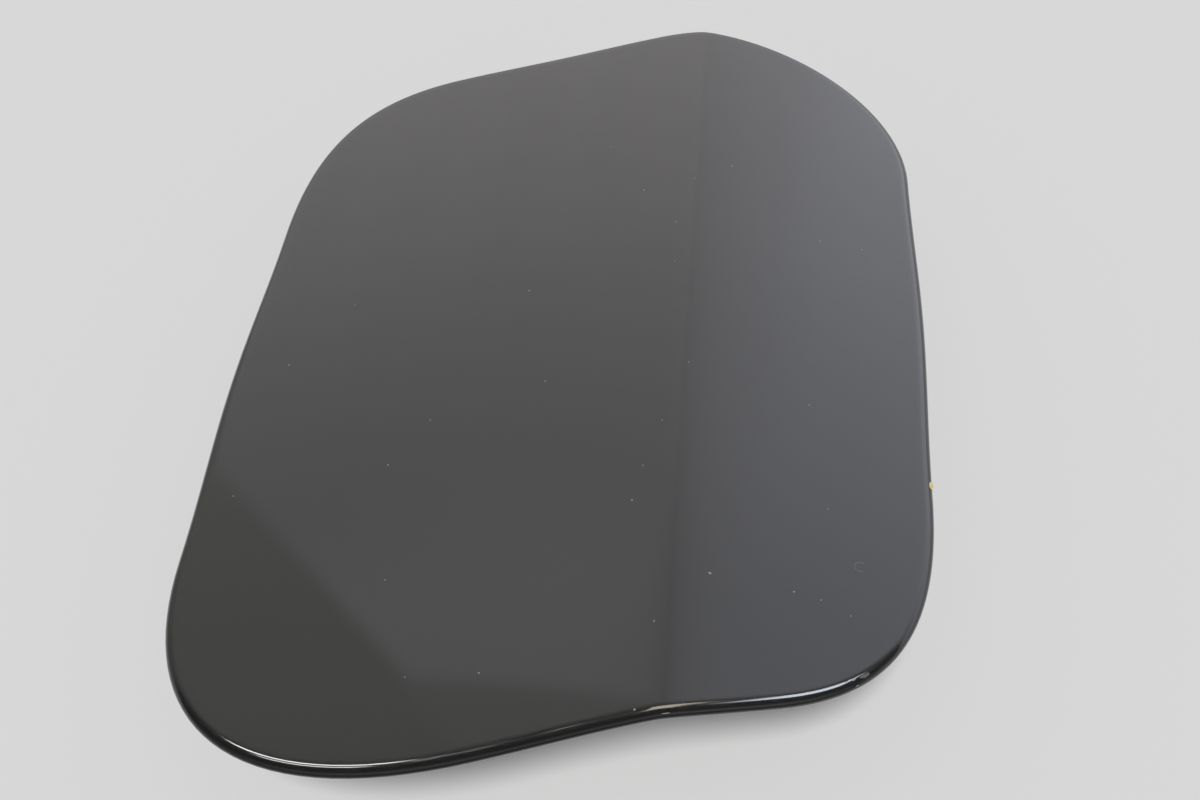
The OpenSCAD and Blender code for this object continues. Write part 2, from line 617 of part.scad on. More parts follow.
// torsion spring: one leg under the arm's web, the coil, one leg down to the foot
coil_steps = 14;
coil_pitch = 2 * wire_r + 0.1;
coil_len = (spring_turns + 0.5) * coil_pitch;
coil_path = [for (i = [0:(spring_turns + 0.5) * coil_steps]) let (a = 90 + 360 * i / coil_steps)
    [-coil_len / 2 + coil_pitch * i / coil_steps, coil_r * cos(a), coil_r * sin(a)]];
leg_drop = pivot_h - bracket_t - coil_r - wire_r - moving;
spring_path = concat(
    [[-coil_len / 2, -upper_leg, coil_r]], coil_path,
    [[coil_len / 2, -lower_leg * 0.5, -coil_r - leg_drop * 0.5], [coil_len / 2, -lower_leg, -coil_r - leg_drop]]);
function wire_ring(path, i) =
    let (d = path[min(i + 1, len(path) - 1)] - path[max(i - 1, 0)], f = d / norm(d),
         u = cross(f, [1, 0, 0]) / norm(cross(f, [1, 0, 0])), v = cross(u, f))
    [for (k = [0:7]) path[i] + wire_r * (u * cos(45 * k) + v * sin(45 * k))];
module torsion_spring() color([0.35, 0.35, 0.37]) translate([0, 0, pivot_h])
    loft([for (i = [0:len(spring_path) - 1]) wire_ring(spring_path, i)]);

outer_skin();
inner_panel();
seam_sealer();
bump_stops();
striker();
striker_sleeve();
striker_rivets();
cap_holder();
cap_holder_screws();
hinge_arm();
arm_screws();
arm_weld_nuts();
pivot_bushes();
hinge_bracket();
hinge_pin();
pin_clip();
thrust_washers();
spring_sleeve();
torsion_spring();
stop_buffer();
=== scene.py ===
"""A car fuel door on its hinge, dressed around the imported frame.

Sizes in the dataclasses are millimetres. A mesh is made in millimetres too, in the row frame,
and turns into metres when its piece is made.
"""

import logging
import math
from dataclasses import dataclass
from enum import Enum
from typing import Callable, Iterable, Sequence

import bmesh
import bpy
from mathutils import Matrix, Vector


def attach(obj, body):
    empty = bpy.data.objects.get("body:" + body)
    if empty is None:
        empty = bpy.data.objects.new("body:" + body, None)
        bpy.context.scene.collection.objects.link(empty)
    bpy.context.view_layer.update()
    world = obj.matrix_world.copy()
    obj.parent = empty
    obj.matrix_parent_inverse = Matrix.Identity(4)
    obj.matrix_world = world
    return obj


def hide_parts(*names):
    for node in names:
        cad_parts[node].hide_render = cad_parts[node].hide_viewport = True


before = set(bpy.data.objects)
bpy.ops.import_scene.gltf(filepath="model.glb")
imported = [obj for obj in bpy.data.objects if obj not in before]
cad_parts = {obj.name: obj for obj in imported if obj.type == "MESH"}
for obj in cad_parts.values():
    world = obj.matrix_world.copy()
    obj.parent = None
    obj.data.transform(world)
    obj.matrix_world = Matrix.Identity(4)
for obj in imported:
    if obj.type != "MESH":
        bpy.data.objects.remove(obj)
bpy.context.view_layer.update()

LOG = logging.getLogger("fuel_door")
MM = 0.001

# Where most of a noise's values lie
MIDDLE = (0.3, 0.7)

# End and side of the door's corners, anticlockwise from above
CORNERS = ((-1, -1), (-1, 1), (1, 1), (1, -1))

Point = tuple[float, float]
Socket = bpy.types.NodeSocket


class Body(Enum):
    """The two bodies that the hinge joins."""

    BASE = "hinge_base"
    DOOR = "door"


class Slot(Enum):
    """The record's material slots."""

    PAINT = "body_paint"
    PRIMER = "primer_coat"
    SEALER = "sealer"
    RUBBER = "rubber"
    ZINC = "zinc_plate"
    SPRING = "spring_steel"
    NYLON = "natural_nylon"
    PLASTIC = "black_plastic"


class Join(Enum):
    """Ways in which two closed meshes are combined."""

    UNION = "UNION"
    CUT = "DIFFERENCE"


# Shader nodes


class Graph:
    """The shader nodes of one tree, added and linked with short calls."""

    def __init__(self, tree: bpy.types.NodeTree) -> None:
        """Empties the tree."""
        self.tree = tree
        tree.nodes.clear()

    def add(self, kind: str, settings: dict | None = None, **inputs: object) -> bpy.types.Node:
        """Adds a node.

        Args:
            kind: The node's type name.
            settings: Attributes of the node itself.
            inputs: Values or output sockets by input name, with _ for a space.

        Returns:
            The new node.
        """
        node = self.tree.nodes.new(kind)
        for key, value in (settings or {}).items():
            setattr(node, key, value)
        return self.fill(node, **inputs)

    def fill(self, node: bpy.types.Node, **inputs: object) -> bpy.types.Node:
        """Feeds several inputs of a node.

        Args:
            node: The node.
            inputs: Values or output sockets by input name, with _ for a space.

        Returns:
            The node itself.
        """
        for key, value in inputs.items():
            self.feed(node.inputs[key.replace("_", " ")], value)
        return node

    def feed(self, socket: Socket, value: object) -> None:
        """Links an output socket to an input, or sets the input's own value.

        Args:
            socket: The input socket.
            value: An output socket, a number or a tuple.
        """
        if isinstance(value, Socket):
            self.tree.links.new(value, socket)
        else:
            socket.default_value = value

    def coordinates(self, scale: Sequence[float] = (1, 1, 1)) -> Socket:
        """Object coordinates, stretched by scale.

        Args:
            scale: The factor along each axis.

        Returns:
            The vector socket.
        """
        place = self.add("ShaderNodeTexCoord").outputs["Object"]
        mapping = self.add("ShaderNodeMapping", Vector=place)
        mapping.inputs["Scale"].default_value = scale
        return mapping.outputs["Vector"]

    def noise(self, scale: float, detail: float = 3, stretch: Sequence[float] = (1, 1, 1)) -> Socket:
        """Fractal noise over the piece."""
        node = self.add("ShaderNodeTexNoise", Vector=self.coordinates(stretch), Scale=scale, Detail=detail)
        return node.outputs["Fac"]

    def math(self, operation: str, first: object, second: object = 0.0, third: object = 0.0) -> Socket:
        """One arithmetic step.

        Args:
            operation: The Math node's operation.
            first: First operand.
            second: Second operand.
            third: Third operand, where the operation has one.

        Returns:
            The value socket.
        """
        node = self.add("ShaderNodeMath", {"operation": operation})
        for socket, value in zip(node.inputs, (first, second, third)):
            self.feed(socket, value)
        return node.outputs[0]

    def remap(self, value: object, low: float, high: float, to_low: float = 0.0, to_high: float = 1.0,
              smooth: bool = True) -> Socket:
        """Maps a value from one range onto another, clamped.

        Args:
            value: The value socket.
            low: Start of the incoming range.
            high: End of the incoming range.
            to_low: Result at low.
            to_high: Result at high.
            smooth: Whether the change eases in and out.

        Returns:
            The result socket.
        """
        kind = "SMOOTHSTEP" if smooth else "LINEAR"
        node = self.add("ShaderNodeMapRange", {"interpolation_type": kind})
        for socket, number in zip(node.inputs, (value, low, high, to_low, to_high)):
            self.feed(socket, number)
        return node.outputs[0]

    def ramp(self, factor: Socket, stops: Sequence[tuple[float, tuple]]) -> Socket:
        """A colour ramp.

        Args:
            factor: The value that is looked up.
            stops: Place and colour of each stop.

        Returns:
            The colour socket.
        """
        node = self.add("ShaderNodeValToRGB", Fac=factor)
        band = node.color_ramp
        while len(band.elements) < len(stops):
            band.elements.new(0.5)
        for element, (place, colour) in zip(band.elements, stops):
            element.position = place
            element.color = (*colour, 1)
        return node.outputs["Color"]

    def mix(self, factor: object, first: object, second: object, blend: str = "MIX") -> Socket:
        """Mixes two colours.

        Args:
            factor: Share of the second colour.
            first: First colour or socket.
            second: Second colour or socket.
            blend: How the colours are combined.

        Returns:
            The colour socket.
        """
        node = self.add("ShaderNodeMix", {"data_type": "RGBA", "blend_type": blend})
        for socket, value in ((node.inputs[0], factor), (node.inputs[6], first), (node.inputs[7], second)):
            self.feed(socket, value if isinstance(value, (float, int, Socket)) else (*value, 1))
        return node.outputs[2]

    def grey(self, value: Socket) -> Socket:
        """Turns a number into a grey.

        Args:
            value: The number.

        Returns:
            The colour socket.
        """
        node = self.add("ShaderNodeCombineColor")
        for socket in node.inputs[:3]:
            self.feed(socket, value)
        return node.outputs[0]

    def bump(self, height: Socket, depth: float) -> Socket:
        """Bump from a height."""
        node = self.add("ShaderNodeBump", Height=height, Distance=depth, Strength=1.0)
        return node.outputs["Normal"]

    def choose(self, share: object, first: bpy.types.Node, second: bpy.types.Node) -> bpy.types.Node:
        """Mixes two shaders.

        Args:
            share: Share of the second shader.
            first: First shader.
            second: Second shader.

        Returns:
            The mixing node.
        """
        node = self.add("ShaderNodeMixShader", Fac=share)
        self.feed(node.inputs[1], first.outputs[0])
        self.feed(node.inputs[2], second.outputs[0])
        return node


# Finishes


@dataclass(frozen=True)
class Finish:
    """A surface finish; each kind builds its own nodes."""

    name: str
    slot: Slot

    def surface(self, graph: Graph, shader: bpy.types.Node) -> None:
        """Feeds the shader."""
        raise NotImplementedError

    def material(self) -> bpy.types.Material:
        """The finish's material, made on first use.

        Returns:
            The material.
        """
        known = bpy.data.materials.get(self.name)
        if known:
            return known
        made = bpy.data.materials.new(self.name)
        made.use_nodes = True
        graph = Graph(made.node_tree)
        shader = graph.add("ShaderNodeBsdfPrincipled")
        graph.add("ShaderNodeOutputMaterial", Surface=shader.outputs["BSDF"])
        self.surface(graph, shader)
        return made


@dataclass(frozen=True)
class GlossPaint(Finish):
    """Black coat under a clear coat, with faint orange peel and wipe marks."""

    name: str = "gloss_black_paint"
    slot: Slot = Slot.PAINT
    black: tuple = (0.0052, 0.0054, 0.0056)
    flake: tuple = (0.0075, 0.0076, 0.0080)
    coat_roughness: float = 0.03
    peel_scale: float = 330.0
    peel_depth: float = 0.0000035
    cloud_scale: float = 28.0
    wipe_scale: float = 60.0

    def surface(self, graph: Graph, shader: bpy.types.Node) -> None:
        """Feeds the shader; see Finish."""
        wipe = graph.noise(self.wipe_scale, 3, (1, 0.25, 1))
        graph.fill(shader, Base_Color=graph.mix(graph.noise(self.cloud_scale, 4), self.black, self.flake),
                   Roughness=graph.remap(wipe, *MIDDLE, 0.42, 0.5), Specular_IOR_Level=0.12,
                   Coat_Normal=graph.bump(graph.noise(self.peel_scale, 1), self.peel_depth),
                   Coat_Weight=1.0, Coat_Roughness=self.coat_roughness, Coat_IOR=1.5)


@dataclass(frozen=True)
class InsidePaint(Finish):
    """Thin black coat inside the door, duller where it was only dusted on."""

    name: str = "thin_black_paint"
    slot: Slot = Slot.PAINT
    black: tuple = (0.010, 0.010, 0.011)
    dusty: tuple = (0.028, 0.028, 0.029)

    def surface(self, graph: Graph, shader: bpy.types.Node) -> None:
        """Feeds the shader; see Finish."""
        cloud = graph.remap(graph.noise(22.0, 4), 0.38, 0.66)
        graph.fill(shader, Base_Color=graph.mix(cloud, self.black, self.dusty),
                   Roughness=graph.remap(cloud, 0, 1, 0.22, 0.5, False),
                   Normal=graph.bump(graph.noise(900.0, 3), 0.00001), Coat_Weight=0.35, Coat_Roughness=0.18)


@dataclass(frozen=True)
class Speck(Finish):
    """Matt pale dust, or the bare ground in a chip."""

    name: str = "pale_dust"
    slot: Slot = Slot.PAINT
    dark: tuple = (0.16, 0.16, 0.16)
    pale: tuple = (0.42, 0.42, 0.42)

    def surface(self, graph: Graph, shader: bpy.types.Node) -> None:
        """Feeds the shader; see Finish."""
        graph.fill(shader, Base_Color=graph.mix(graph.noise(700.0, 2), self.dark, self.pale),
                   Roughness=graph.remap(graph.noise(900.0, 2), *MIDDLE, 0.6, 0.9), Specular_IOR_Level=0.12)


@dataclass(frozen=True)
class PrimerCoat(Finish):
    """Satin dark electrocoat with a fine grain and paler rubbed places."""

    name: str = "dark_primer"
    slot: Slot = Slot.PRIMER
    dark: tuple = (0.020, 0.021, 0.023)
    pale: tuple = (0.040, 0.041, 0.044)

    def surface(self, graph: Graph, shader: bpy.types.Node) -> None:
        """Feeds the shader; see Finish."""
        cloud = graph.remap(graph.noise(45.0, 5), 0.35, 0.7)
        graph.fill(shader, Base_Color=graph.mix(cloud, self.dark, self.pale),
                   Roughness=graph.remap(graph.noise(260.0, 3), *MIDDLE, 0.34, 0.46),
                   Normal=graph.bump(graph.noise(1500.0, 3), 0.000012), Specular_IOR_Level=0.5)


@dataclass(frozen=True)
class Sealer(Finish):
    """Brushed seam sealer under a thin coat."""

    name: str = "grey_sealer"
    slot: Slot = Slot.SEALER
    dark: tuple = (0.045, 0.045, 0.046)
    pale: tuple = (0.085, 0.085, 0.084)

    def surface(self, graph: Graph, shader: bpy.types.Node) -> None:
        """Feeds the shader; see Finish."""
        graph.fill(shader, Base_Color=graph.mix(graph.noise(90.0, 5), self.dark, self.pale),
                   Normal=graph.bump(graph.noise(420.0, 4), 0.00008), Roughness=0.5)


@dataclass(frozen=True)
class Rubber(Finish):
    """Matt black rubber with bloom."""

    name: str = "black_rubber"
    slot: Slot = Slot.RUBBER
    dark: tuple = (0.012, 0.012, 0.012)
    bloom: tuple = (0.036, 0.035, 0.034)

    def surface(self, graph: Graph, shader: bpy.types.Node) -> None:
        """Feeds the shader; see Finish."""
        cloud = graph.remap(graph.noise(130.0, 5), 0.42, 0.72)
        graph.fill(shader, Base_Color=graph.mix(cloud, self.dark, self.bloom),
                   Normal=graph.bump(graph.noise(2600.0, 3), 0.00002), Roughness=0.72)


@dataclass(frozen=True)
class ZincPlate(Finish):
    """Zinc-plated steel with rolling grain, dull spots and a faint tint."""

    name: str = "zinc_plated_steel"
    slot: Slot = Slot.ZINC
    bright: tuple = (0.62, 0.61, 0.57)
    dull: tuple = (0.44, 0.44, 0.43)
    grain: float = 900.0

    def surface(self, graph: Graph, shader: bpy.types.Node) -> None:
        """Feeds the shader; see Finish."""
        cloud = graph.remap(graph.noise(160.0, 5), 0.35, 0.7)
        grain = graph.noise(self.grain, 2, (0.15, 1, 1))
        graph.fill(shader, Base_Color=graph.mix(cloud, self.bright, self.dull), Metallic=1.0,
                   Roughness=graph.remap(cloud, 0, 1, 0.28, 0.46, False), Normal=graph.bump(grain, 0.000006))


@dataclass(frozen=True)
class SpringSteel(Finish):
    """Oiled dark spring wire."""

    name: str = "spring_wire"
    slot: Slot = Slot.SPRING
    dark: tuple = (0.16, 0.16, 0.17)
    bright: tuple = (0.30, 0.30, 0.31)

    def surface(self, graph: Graph, shader: bpy.types.Node) -> None:
        """Feeds the shader; see Finish."""
        graph.fill(shader, Base_Color=graph.mix(graph.noise(300.0, 4), self.dark, self.bright), Metallic=1.0,
                   Roughness=0.33, Normal=graph.bump(graph.noise(3000.0, 2), 0.000008))


@dataclass(frozen=True)
class Nylon(Finish):
    """Natural nylon, slightly translucent."""

    name: str = "natural_nylon"
    slot: Slot = Slot.NYLON
    pale: tuple = (0.72, 0.69, 0.60)
    aged: tuple = (0.60, 0.56, 0.45)

    def surface(self, graph: Graph, shader: bpy.types.Node) -> None:
        """Feeds the shader; see Finish."""
        graph.fill(shader, Base_Color=graph.mix(graph.noise(220.0, 4), self.pale, self.aged), Roughness=0.42,
                   Normal=graph.bump(graph.noise(1200.0, 2), 0.00001), Subsurface_Weight=0.2,
                   Subsurface_Scale=0.0008)


@dataclass(frozen=True)
class MouldedPlastic(Finish):
    """Grained black moulding."""

    name: str = "grained_black_plastic"
    slot: Slot = Slot.PLASTIC
    dark: tuple = (0.014, 0.014, 0.015)
    pale: tuple = (0.026, 0.026, 0.027)

    def surface(self, graph: Graph, shader: bpy.types.Node) -> None:
        """Feeds the shader; see Finish."""
        cells = graph.add("ShaderNodeTexVoronoi", {"feature": "SMOOTH_F1"}, Vector=graph.coordinates(),
                          Scale=1900.0)
        graph.fill(shader, Base_Color=graph.mix(graph.noise(110.0, 4), self.dark, self.pale),
                   Normal=graph.bump(cells.outputs["Distance"], 0.00003),
                   Roughness=graph.remap(graph.noise(300.0, 3), *MIDDLE, 0.46, 0.58))


PAINT = GlossPaint()
INSIDE = InsidePaint()
DUST = Speck()
GROUND = Speck("ochre_ground", dark=(0.44, 0.33, 0.12), pale=(0.72, 0.62, 0.32))
SCRAPED = Speck("scraped_coat", dark=(0.035, 0.035, 0.03), pale=(0.17, 0.165, 0.15))
PRIMER = PrimerCoat()
SEALER = Sealer()
RUBBER = Rubber()
ZINC = ZincPlate()
SPRING = SpringSteel()
NYLON = Nylon()
PLASTIC = MouldedPlastic()


# Mesh helpers


def make_piece(mesh_work: bmesh.types.BMesh, name: str, finish: Finish, body: Body,
               stands_for: Iterable[str] = (), sharp: float = 40.0) -> bpy.types.Object:
    """Turns a mesh in millimetres into a finished piece that rides on a body.

    Args:
        mesh_work: The mesh, closed and in the row frame.
        name: The piece's name.
        finish: Its finish.
        body: The body that it rides on.
        stands_for: The CAD nodes that it replaces.
        sharp: Angle in degrees above which an edge stays sharp.

    Returns:
        The new object.
    """
    bmesh.ops.recalc_face_normals(mesh_work, faces=mesh_work.faces)
    bmesh.ops.scale(mesh_work, vec=(MM, MM, MM), verts=mesh_work.verts)
    for face in mesh_work.faces:
        face.smooth = True
    for edge in mesh_work.edges:
        edge.smooth = len(edge.link_faces) != 2 or edge.calc_face_angle() < math.radians(sharp)
    mesh = bpy.data.meshes.new(name)
    mesh_work.to_mesh(mesh)
    mesh_work.free()
    mesh.materials.append(finish.material())
    piece = bpy.data.objects.new(name, mesh)
    bpy.context.scene.collection.objects.link(piece)
    shading = piece.modifiers.new("even_shading", "WEIGHTED_NORMAL")
    shading.keep_sharp = True
    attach(piece, body.value)
    for node in stands_for:
        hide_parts(node)
    LOG.info("%s: %d faces in %s", name, len(mesh.polygons), finish.name)
    return piece


def dress_node(name: str, finish: Finish) -> None:
    """Gives a CAD node that is carried over its finish.

    Args:
        name: The node's name.
        finish: The finish.
    """
    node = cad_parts[name]
    node.data.materials.clear()
    node.data.materials.append(finish.material())
    LOG.info("%s: carried over in %s", name, finish.name)


def on_bend(start: Vector, corner: Vector, stop: Vector, share: float) -> Vector:
    """A point of the rounding of a corner, share of the way from start to stop."""
    return start * (1 - share) ** 2 + corner * 2 * share * (1 - share) + stop * share ** 2


def rounded(points: Sequence[Point], radius: float, closed: bool = True, steps: int = 4) -> list[Point]:
    """Rounds the corners of a flat path.

    Args:
        points: The corners.
        radius: How far a rounding reaches along its two sides.
        closed: Whether the last corner joins the first.
        steps: Number of stretches in a rounding.

    Returns:
        The points of the rounded path.
    """
    result = []
    last = len(points) - 1
    for index, corner in enumerate(points):
        if not closed and index in (0, last):
            result.append(tuple(corner))
            continue
        middle = Vector(corner)
        before, after = Vector(points[index - 1]) - middle, Vector(points[(index + 1) % len(points)]) - middle
        start = middle + before * min(0.48, radius / before.length)
        stop = middle + after * min(0.48, radius / after.length)
        result += [tuple(on_bend(start, middle, stop, step / steps)) for step in range(steps + 1)]
    return result


def extruded(work: bmesh.types.BMesh, edges: Sequence[bmesh.types.BMEdge]) -> tuple[list, list]:
    """Extrudes a line of edges.

    Args:
        work: The mesh.
        edges: The edges.

    Returns:
        The new vertices, and the new edges between them.
    """
    made = bmesh.ops.extrude_edge_only(work, edges=edges)["geom"]
    verts = [item for item in made if isinstance(item, bmesh.types.BMVert)]
    fresh = set(verts)
    return verts, [item for item in made if isinstance(item, bmesh.types.BMEdge) and set(item.verts) <= fresh]


def circle(radius: float, middle: Point = (0, 0), steps: int = 48) -> list[Point]:
    """Points on a circle."""
    angles = (math.tau * i / steps for i in range(steps))
    return [(middle[0] + radius * math.cos(a), middle[1] + radius * math.sin(a)) for a in angles]


def oblong(width: float, length: float, radius: float, middle: Point = (0, 0)) -> list[Point]:
    """A rectangle with rounded corners.

    Args:
        width: Size along the first axis.
        length: Size along the second axis.
        radius: Reach of the roundings.
        middle: Its middle.

    Returns:
        The points.
    """
    x, y = width / 2, length / 2
    corners = [(middle[0] + a * x, middle[1] + b * y) for a, b in ((-1, -1), (1, -1), (1, 1), (-1, 1))]
    return rounded(corners, radius)


class Shape:
    """A closed mesh in millimetres that is made step by step."""

    def __init__(self, mesh_work: bmesh.types.BMesh | None = None) -> None:
        """Starts from a mesh, or from nothing."""
        self.mesh = mesh_work or bmesh.new()

    @classmethod
    def plate(cls, outline: Sequence[Point], thickness: float, base: float = 0.0,
              holes: Sequence[Sequence[Point]] = ()) -> "Shape":
        """A flat plate lying in XY.

        Args:
            outline: Its outline.
            thickness: Its thickness, upwards.
            base: Level of its underside.
            holes: Outlines of its holes.

        Returns:
            The plate.
        """
        shape = cls()
        work = shape.mesh
        edges = []
        for loop in (outline, *holes):
            verts = [work.verts.new((*point, base)) for point in loop]
            edges += [work.edges.new(pair) for pair in zip(verts, verts[1:] + verts[:1])]
        if holes:
            bmesh.ops.triangle_fill(work, edges=edges, use_beauty=True)
        else:
            bmesh.ops.contextual_create(work, geom=edges)
        made = bmesh.ops.extrude_face_region(work, geom=work.faces[:])["geom"]
        raised = [item for item in made if isinstance(item, bmesh.types.BMVert)]
        bmesh.ops.translate(work, vec=(0, 0, thickness), verts=raised)
        return shape.outwards()

    @classmethod
    def box(cls, size: Sequence[float], middle: Sequence[float]) -> "Shape":
        """A box.

        Args:
            size: Its three sizes.
            middle: Its middle.

        Returns:
            The box.
        """
        shape = cls()
        bmesh.ops.create_cube(shape.mesh, size=1)
        bmesh.ops.scale(shape.mesh, vec=size, verts=shape.mesh.verts)
        return shape.move(middle)

    @classmethod
    def lathe(cls, section: Sequence[Point], steps: int = 48) -> "Shape":
        """Spins a section round Z; one that stays off the axis is closed on itself.

        Args:
            section: Radius and height of its points.
            steps: Number of stretches round the axis.

        Returns:
            The turned shape.
        """
        shape = cls()
        work = shape.mesh
        verts = [work.verts.new((radius, 0, height)) for radius, height in section]
        pairs = list(zip(verts, verts[1:]))
        if min(radius for radius, _ in section) > 0:
            pairs.append((verts[-1], verts[0]))
        edges = [work.edges.new(pair) for pair in pairs]
        bmesh.ops.spin(work, geom=verts + edges, cent=(0, 0, 0), axis=(0, 0, 1), angle=math.tau,
                       steps=steps, use_merge=True)
        bmesh.ops.remove_doubles(work, verts=work.verts, dist=0.0001)
        return shape.outwards()

    @classmethod
    def tube(cls, path: Sequence[Vector], radius: float, sides: int = 16) -> "Shape":
        """A round wire along a path that leaves X as its side direction.

        Args:
            path: The points of its middle line.
            radius: Its radius.
            sides: Number of its sides.

        Returns:
            The wire with flat ends.
        """
        shape = cls()
        work = shape.mesh
        verts = bmesh.ops.create_circle(work, segments=sides, radius=radius, cap_ends=True)["verts"]
        ways = [Vector((*point, 0)) for point in circle(radius, steps=sides)]
        edges = list(work.edges)
        last = len(path) - 1
        for index, place in enumerate(path):
            if index:
                verts, edges = extruded(work, edges)
                centre = sum((vert.co for vert in verts), Vector()) / sides
                ways = [turn.inverted() @ (vert.co - centre) for vert in verts]
            forward = (path[min(index + 1, last)] - path[max(index - 1, 0)]).normalized()
            side = forward.cross(Vector((1, 0, 0))).normalized()
            turn = Matrix((side, forward.cross(side), forward)).transposed()
            for vert, way in zip(verts, ways):
                vert.co = place + turn @ way
        bmesh.ops.contextual_create(work, geom=edges)
        return shape.outwards()

    def outwards(self) -> "Shape":
        """Turns all faces outwards."""
        bmesh.ops.recalc_face_normals(self.mesh, faces=self.mesh.faces)
        return self

    def move(self, way: Sequence[float]) -> "Shape":
        """Moves the shape."""
        bmesh.ops.translate(self.mesh, vec=way, verts=self.mesh.verts)
        return self

    def turn(self, degrees: float, axis: str) -> "Shape":
        """Turns the shape round an axis through the origin."""
        matrix = Matrix.Rotation(math.radians(degrees), 3, axis)
        bmesh.ops.rotate(self.mesh, cent=(0, 0, 0), matrix=matrix, verts=self.mesh.verts)
        return self

    def stand_across(self) -> "Shape":
        """Turns what lies in XY so that it stands in YZ, with its thickness along X."""
        matrix = Matrix(((0, 0, 1, 0), (1, 0, 0, 0), (0, 1, 0, 0), (0, 0, 0, 1)))
        bmesh.ops.transform(self.mesh, matrix=matrix, verts=self.mesh.verts)
        return self

    def copy(self) -> "Shape":
        """A copy of the shape."""
        return Shape(self.mesh.copy())

    def mirrored(self) -> "Shape":
        """A copy on the other side of X = 0."""
        other = self.copy()
        bmesh.ops.scale(other.mesh, vec=(-1, 1, 1), verts=other.mesh.verts)
        return other.outwards()

    def add(self, other: "Shape") -> "Shape":
        """Takes in a shape that is apart from this one.

        Args:
            other: The other shape, which is used up.

        Returns:
            The shape itself.
        """
        store = bpy.data.meshes.new("store")
        other.mesh.to_mesh(store)
        other.mesh.free()
        self.mesh.from_mesh(store)
        bpy.data.meshes.remove(store)
        return self

    def at(self, places: Iterable[Sequence[float]]) -> "Shape":
        """Puts a copy at each place.

        Args:
            places: The places.

        Returns:
            All copies as one shape.
        """
        result = Shape()
        for place in places:
            result.add(self.copy().move(place))
        return result

    def combine(self, other: "Shape", join: Join) -> "Shape":
        """Joins or cuts with another closed shape.

        Args:
            other: The other shape, which is used up.
            join: How the two are combined.

        Returns:
            The shape itself.
        """
        holders = []
        for shape in (self, other):
            store = bpy.data.meshes.new("store")
            shape.mesh.to_mesh(store)
            shape.mesh.free()
            holder = bpy.data.objects.new("store", store)
            bpy.context.scene.collection.objects.link(holder)
            holders.append(holder)
        step = holders[0].modifiers.new("join", "BOOLEAN")
        step.operation = join.value
        step.solver = "EXACT"
        step.object = holders[1]
        graph = bpy.context.evaluated_depsgraph_get()
        self.mesh = bmesh.new()
        self.mesh.from_mesh(holders[0].evaluated_get(graph).to_mesh())
        for holder in holders:
            store = holder.data
            bpy.data.objects.remove(holder)
            bpy.data.meshes.remove(store)
        return self

    def bevel(self, width: float, segments: int = 2, angle: float = 50.0,
              where: Callable[[bmesh.types.BMEdge], bool] = lambda edge: True) -> "Shape":
        """Rounds the edges that are sharper than an angle.

        Args:
            width: Width of the rounding.
            segments: Number of its steps.
            angle: The least angle in degrees.
            where: Picks the edges.

        Returns:
            The shape itself.
        """
        edges = [edge for edge in self.mesh.edges if len(edge.link_faces) == 2
                 and edge.calc_face_angle() > math.radians(angle) and where(edge)]
        bmesh.ops.bevel(self.mesh, geom=edges, offset=width, offset_type="OFFSET", segments=segments,
                        profile=0.5, affect="EDGES", material=-1, clamp_overlap=True)
        return self

    def fold(self, start: float, radius: float, degrees: float, middle: float, steps: int = 8) -> "Shape":
        """Folds what lies beyond a line across Y downwards.

        Args:
            start: Y where the bend begins.
            radius: Radius of the bend's middle layer.
            degrees: Angle of the fold.
            middle: Level of the sheet's middle layer.
            steps: Number of stretches in the bend.

        Returns:
            The shape itself.
        """
        whole = math.radians(degrees)
        for step in range(steps + 1):
            geometry = self.mesh.verts[:] + self.mesh.edges[:] + self.mesh.faces[:]
            line = (0, start + radius * whole * step / steps, 0)
            bmesh.ops.bisect_plane(self.mesh, geom=geometry, dist=0.0001, plane_co=line, plane_no=(0, 1, 0))
        for vert in self.mesh.verts:
            beyond = vert.co.y - start
            if beyond > 0:
                angle = min(beyond / radius, whole)
                rest = max(0.0, beyond - radius * whole)
                reach = radius + vert.co.z - middle
                vert.co.y = start + reach * math.sin(angle) + rest * math.cos(angle)
                vert.co.z = middle - radius + reach * math.cos(angle) - rest * math.sin(angle)
        return self.outwards()


# The door's form


@dataclass(frozen=True)
class EdgePoint:
    """A point of the door's outline with its outward direction."""

    place: Vector
    outward: Vector


@dataclass(frozen=True)
class Corner:
    """How far a corner's curve reaches along the side and the end edge, and how full it is."""

    reach_side: float
    reach_end: float
    fullness: float


def on_curve(handles: Sequence[Vector], share: float) -> Vector:
    """A point of a cubic curve.

    Args:
        handles: Start, two handles and end.
        share: How far along the curve, from 0 to 1.

    Returns:
        The point.
    """
    rest = 1 - share
    weights = (rest ** 3, 3 * share * rest ** 2, 3 * share ** 2 * rest, share ** 3)
    return sum((handle * weight for handle, weight in zip(handles, weights)), handles[0] * 0)


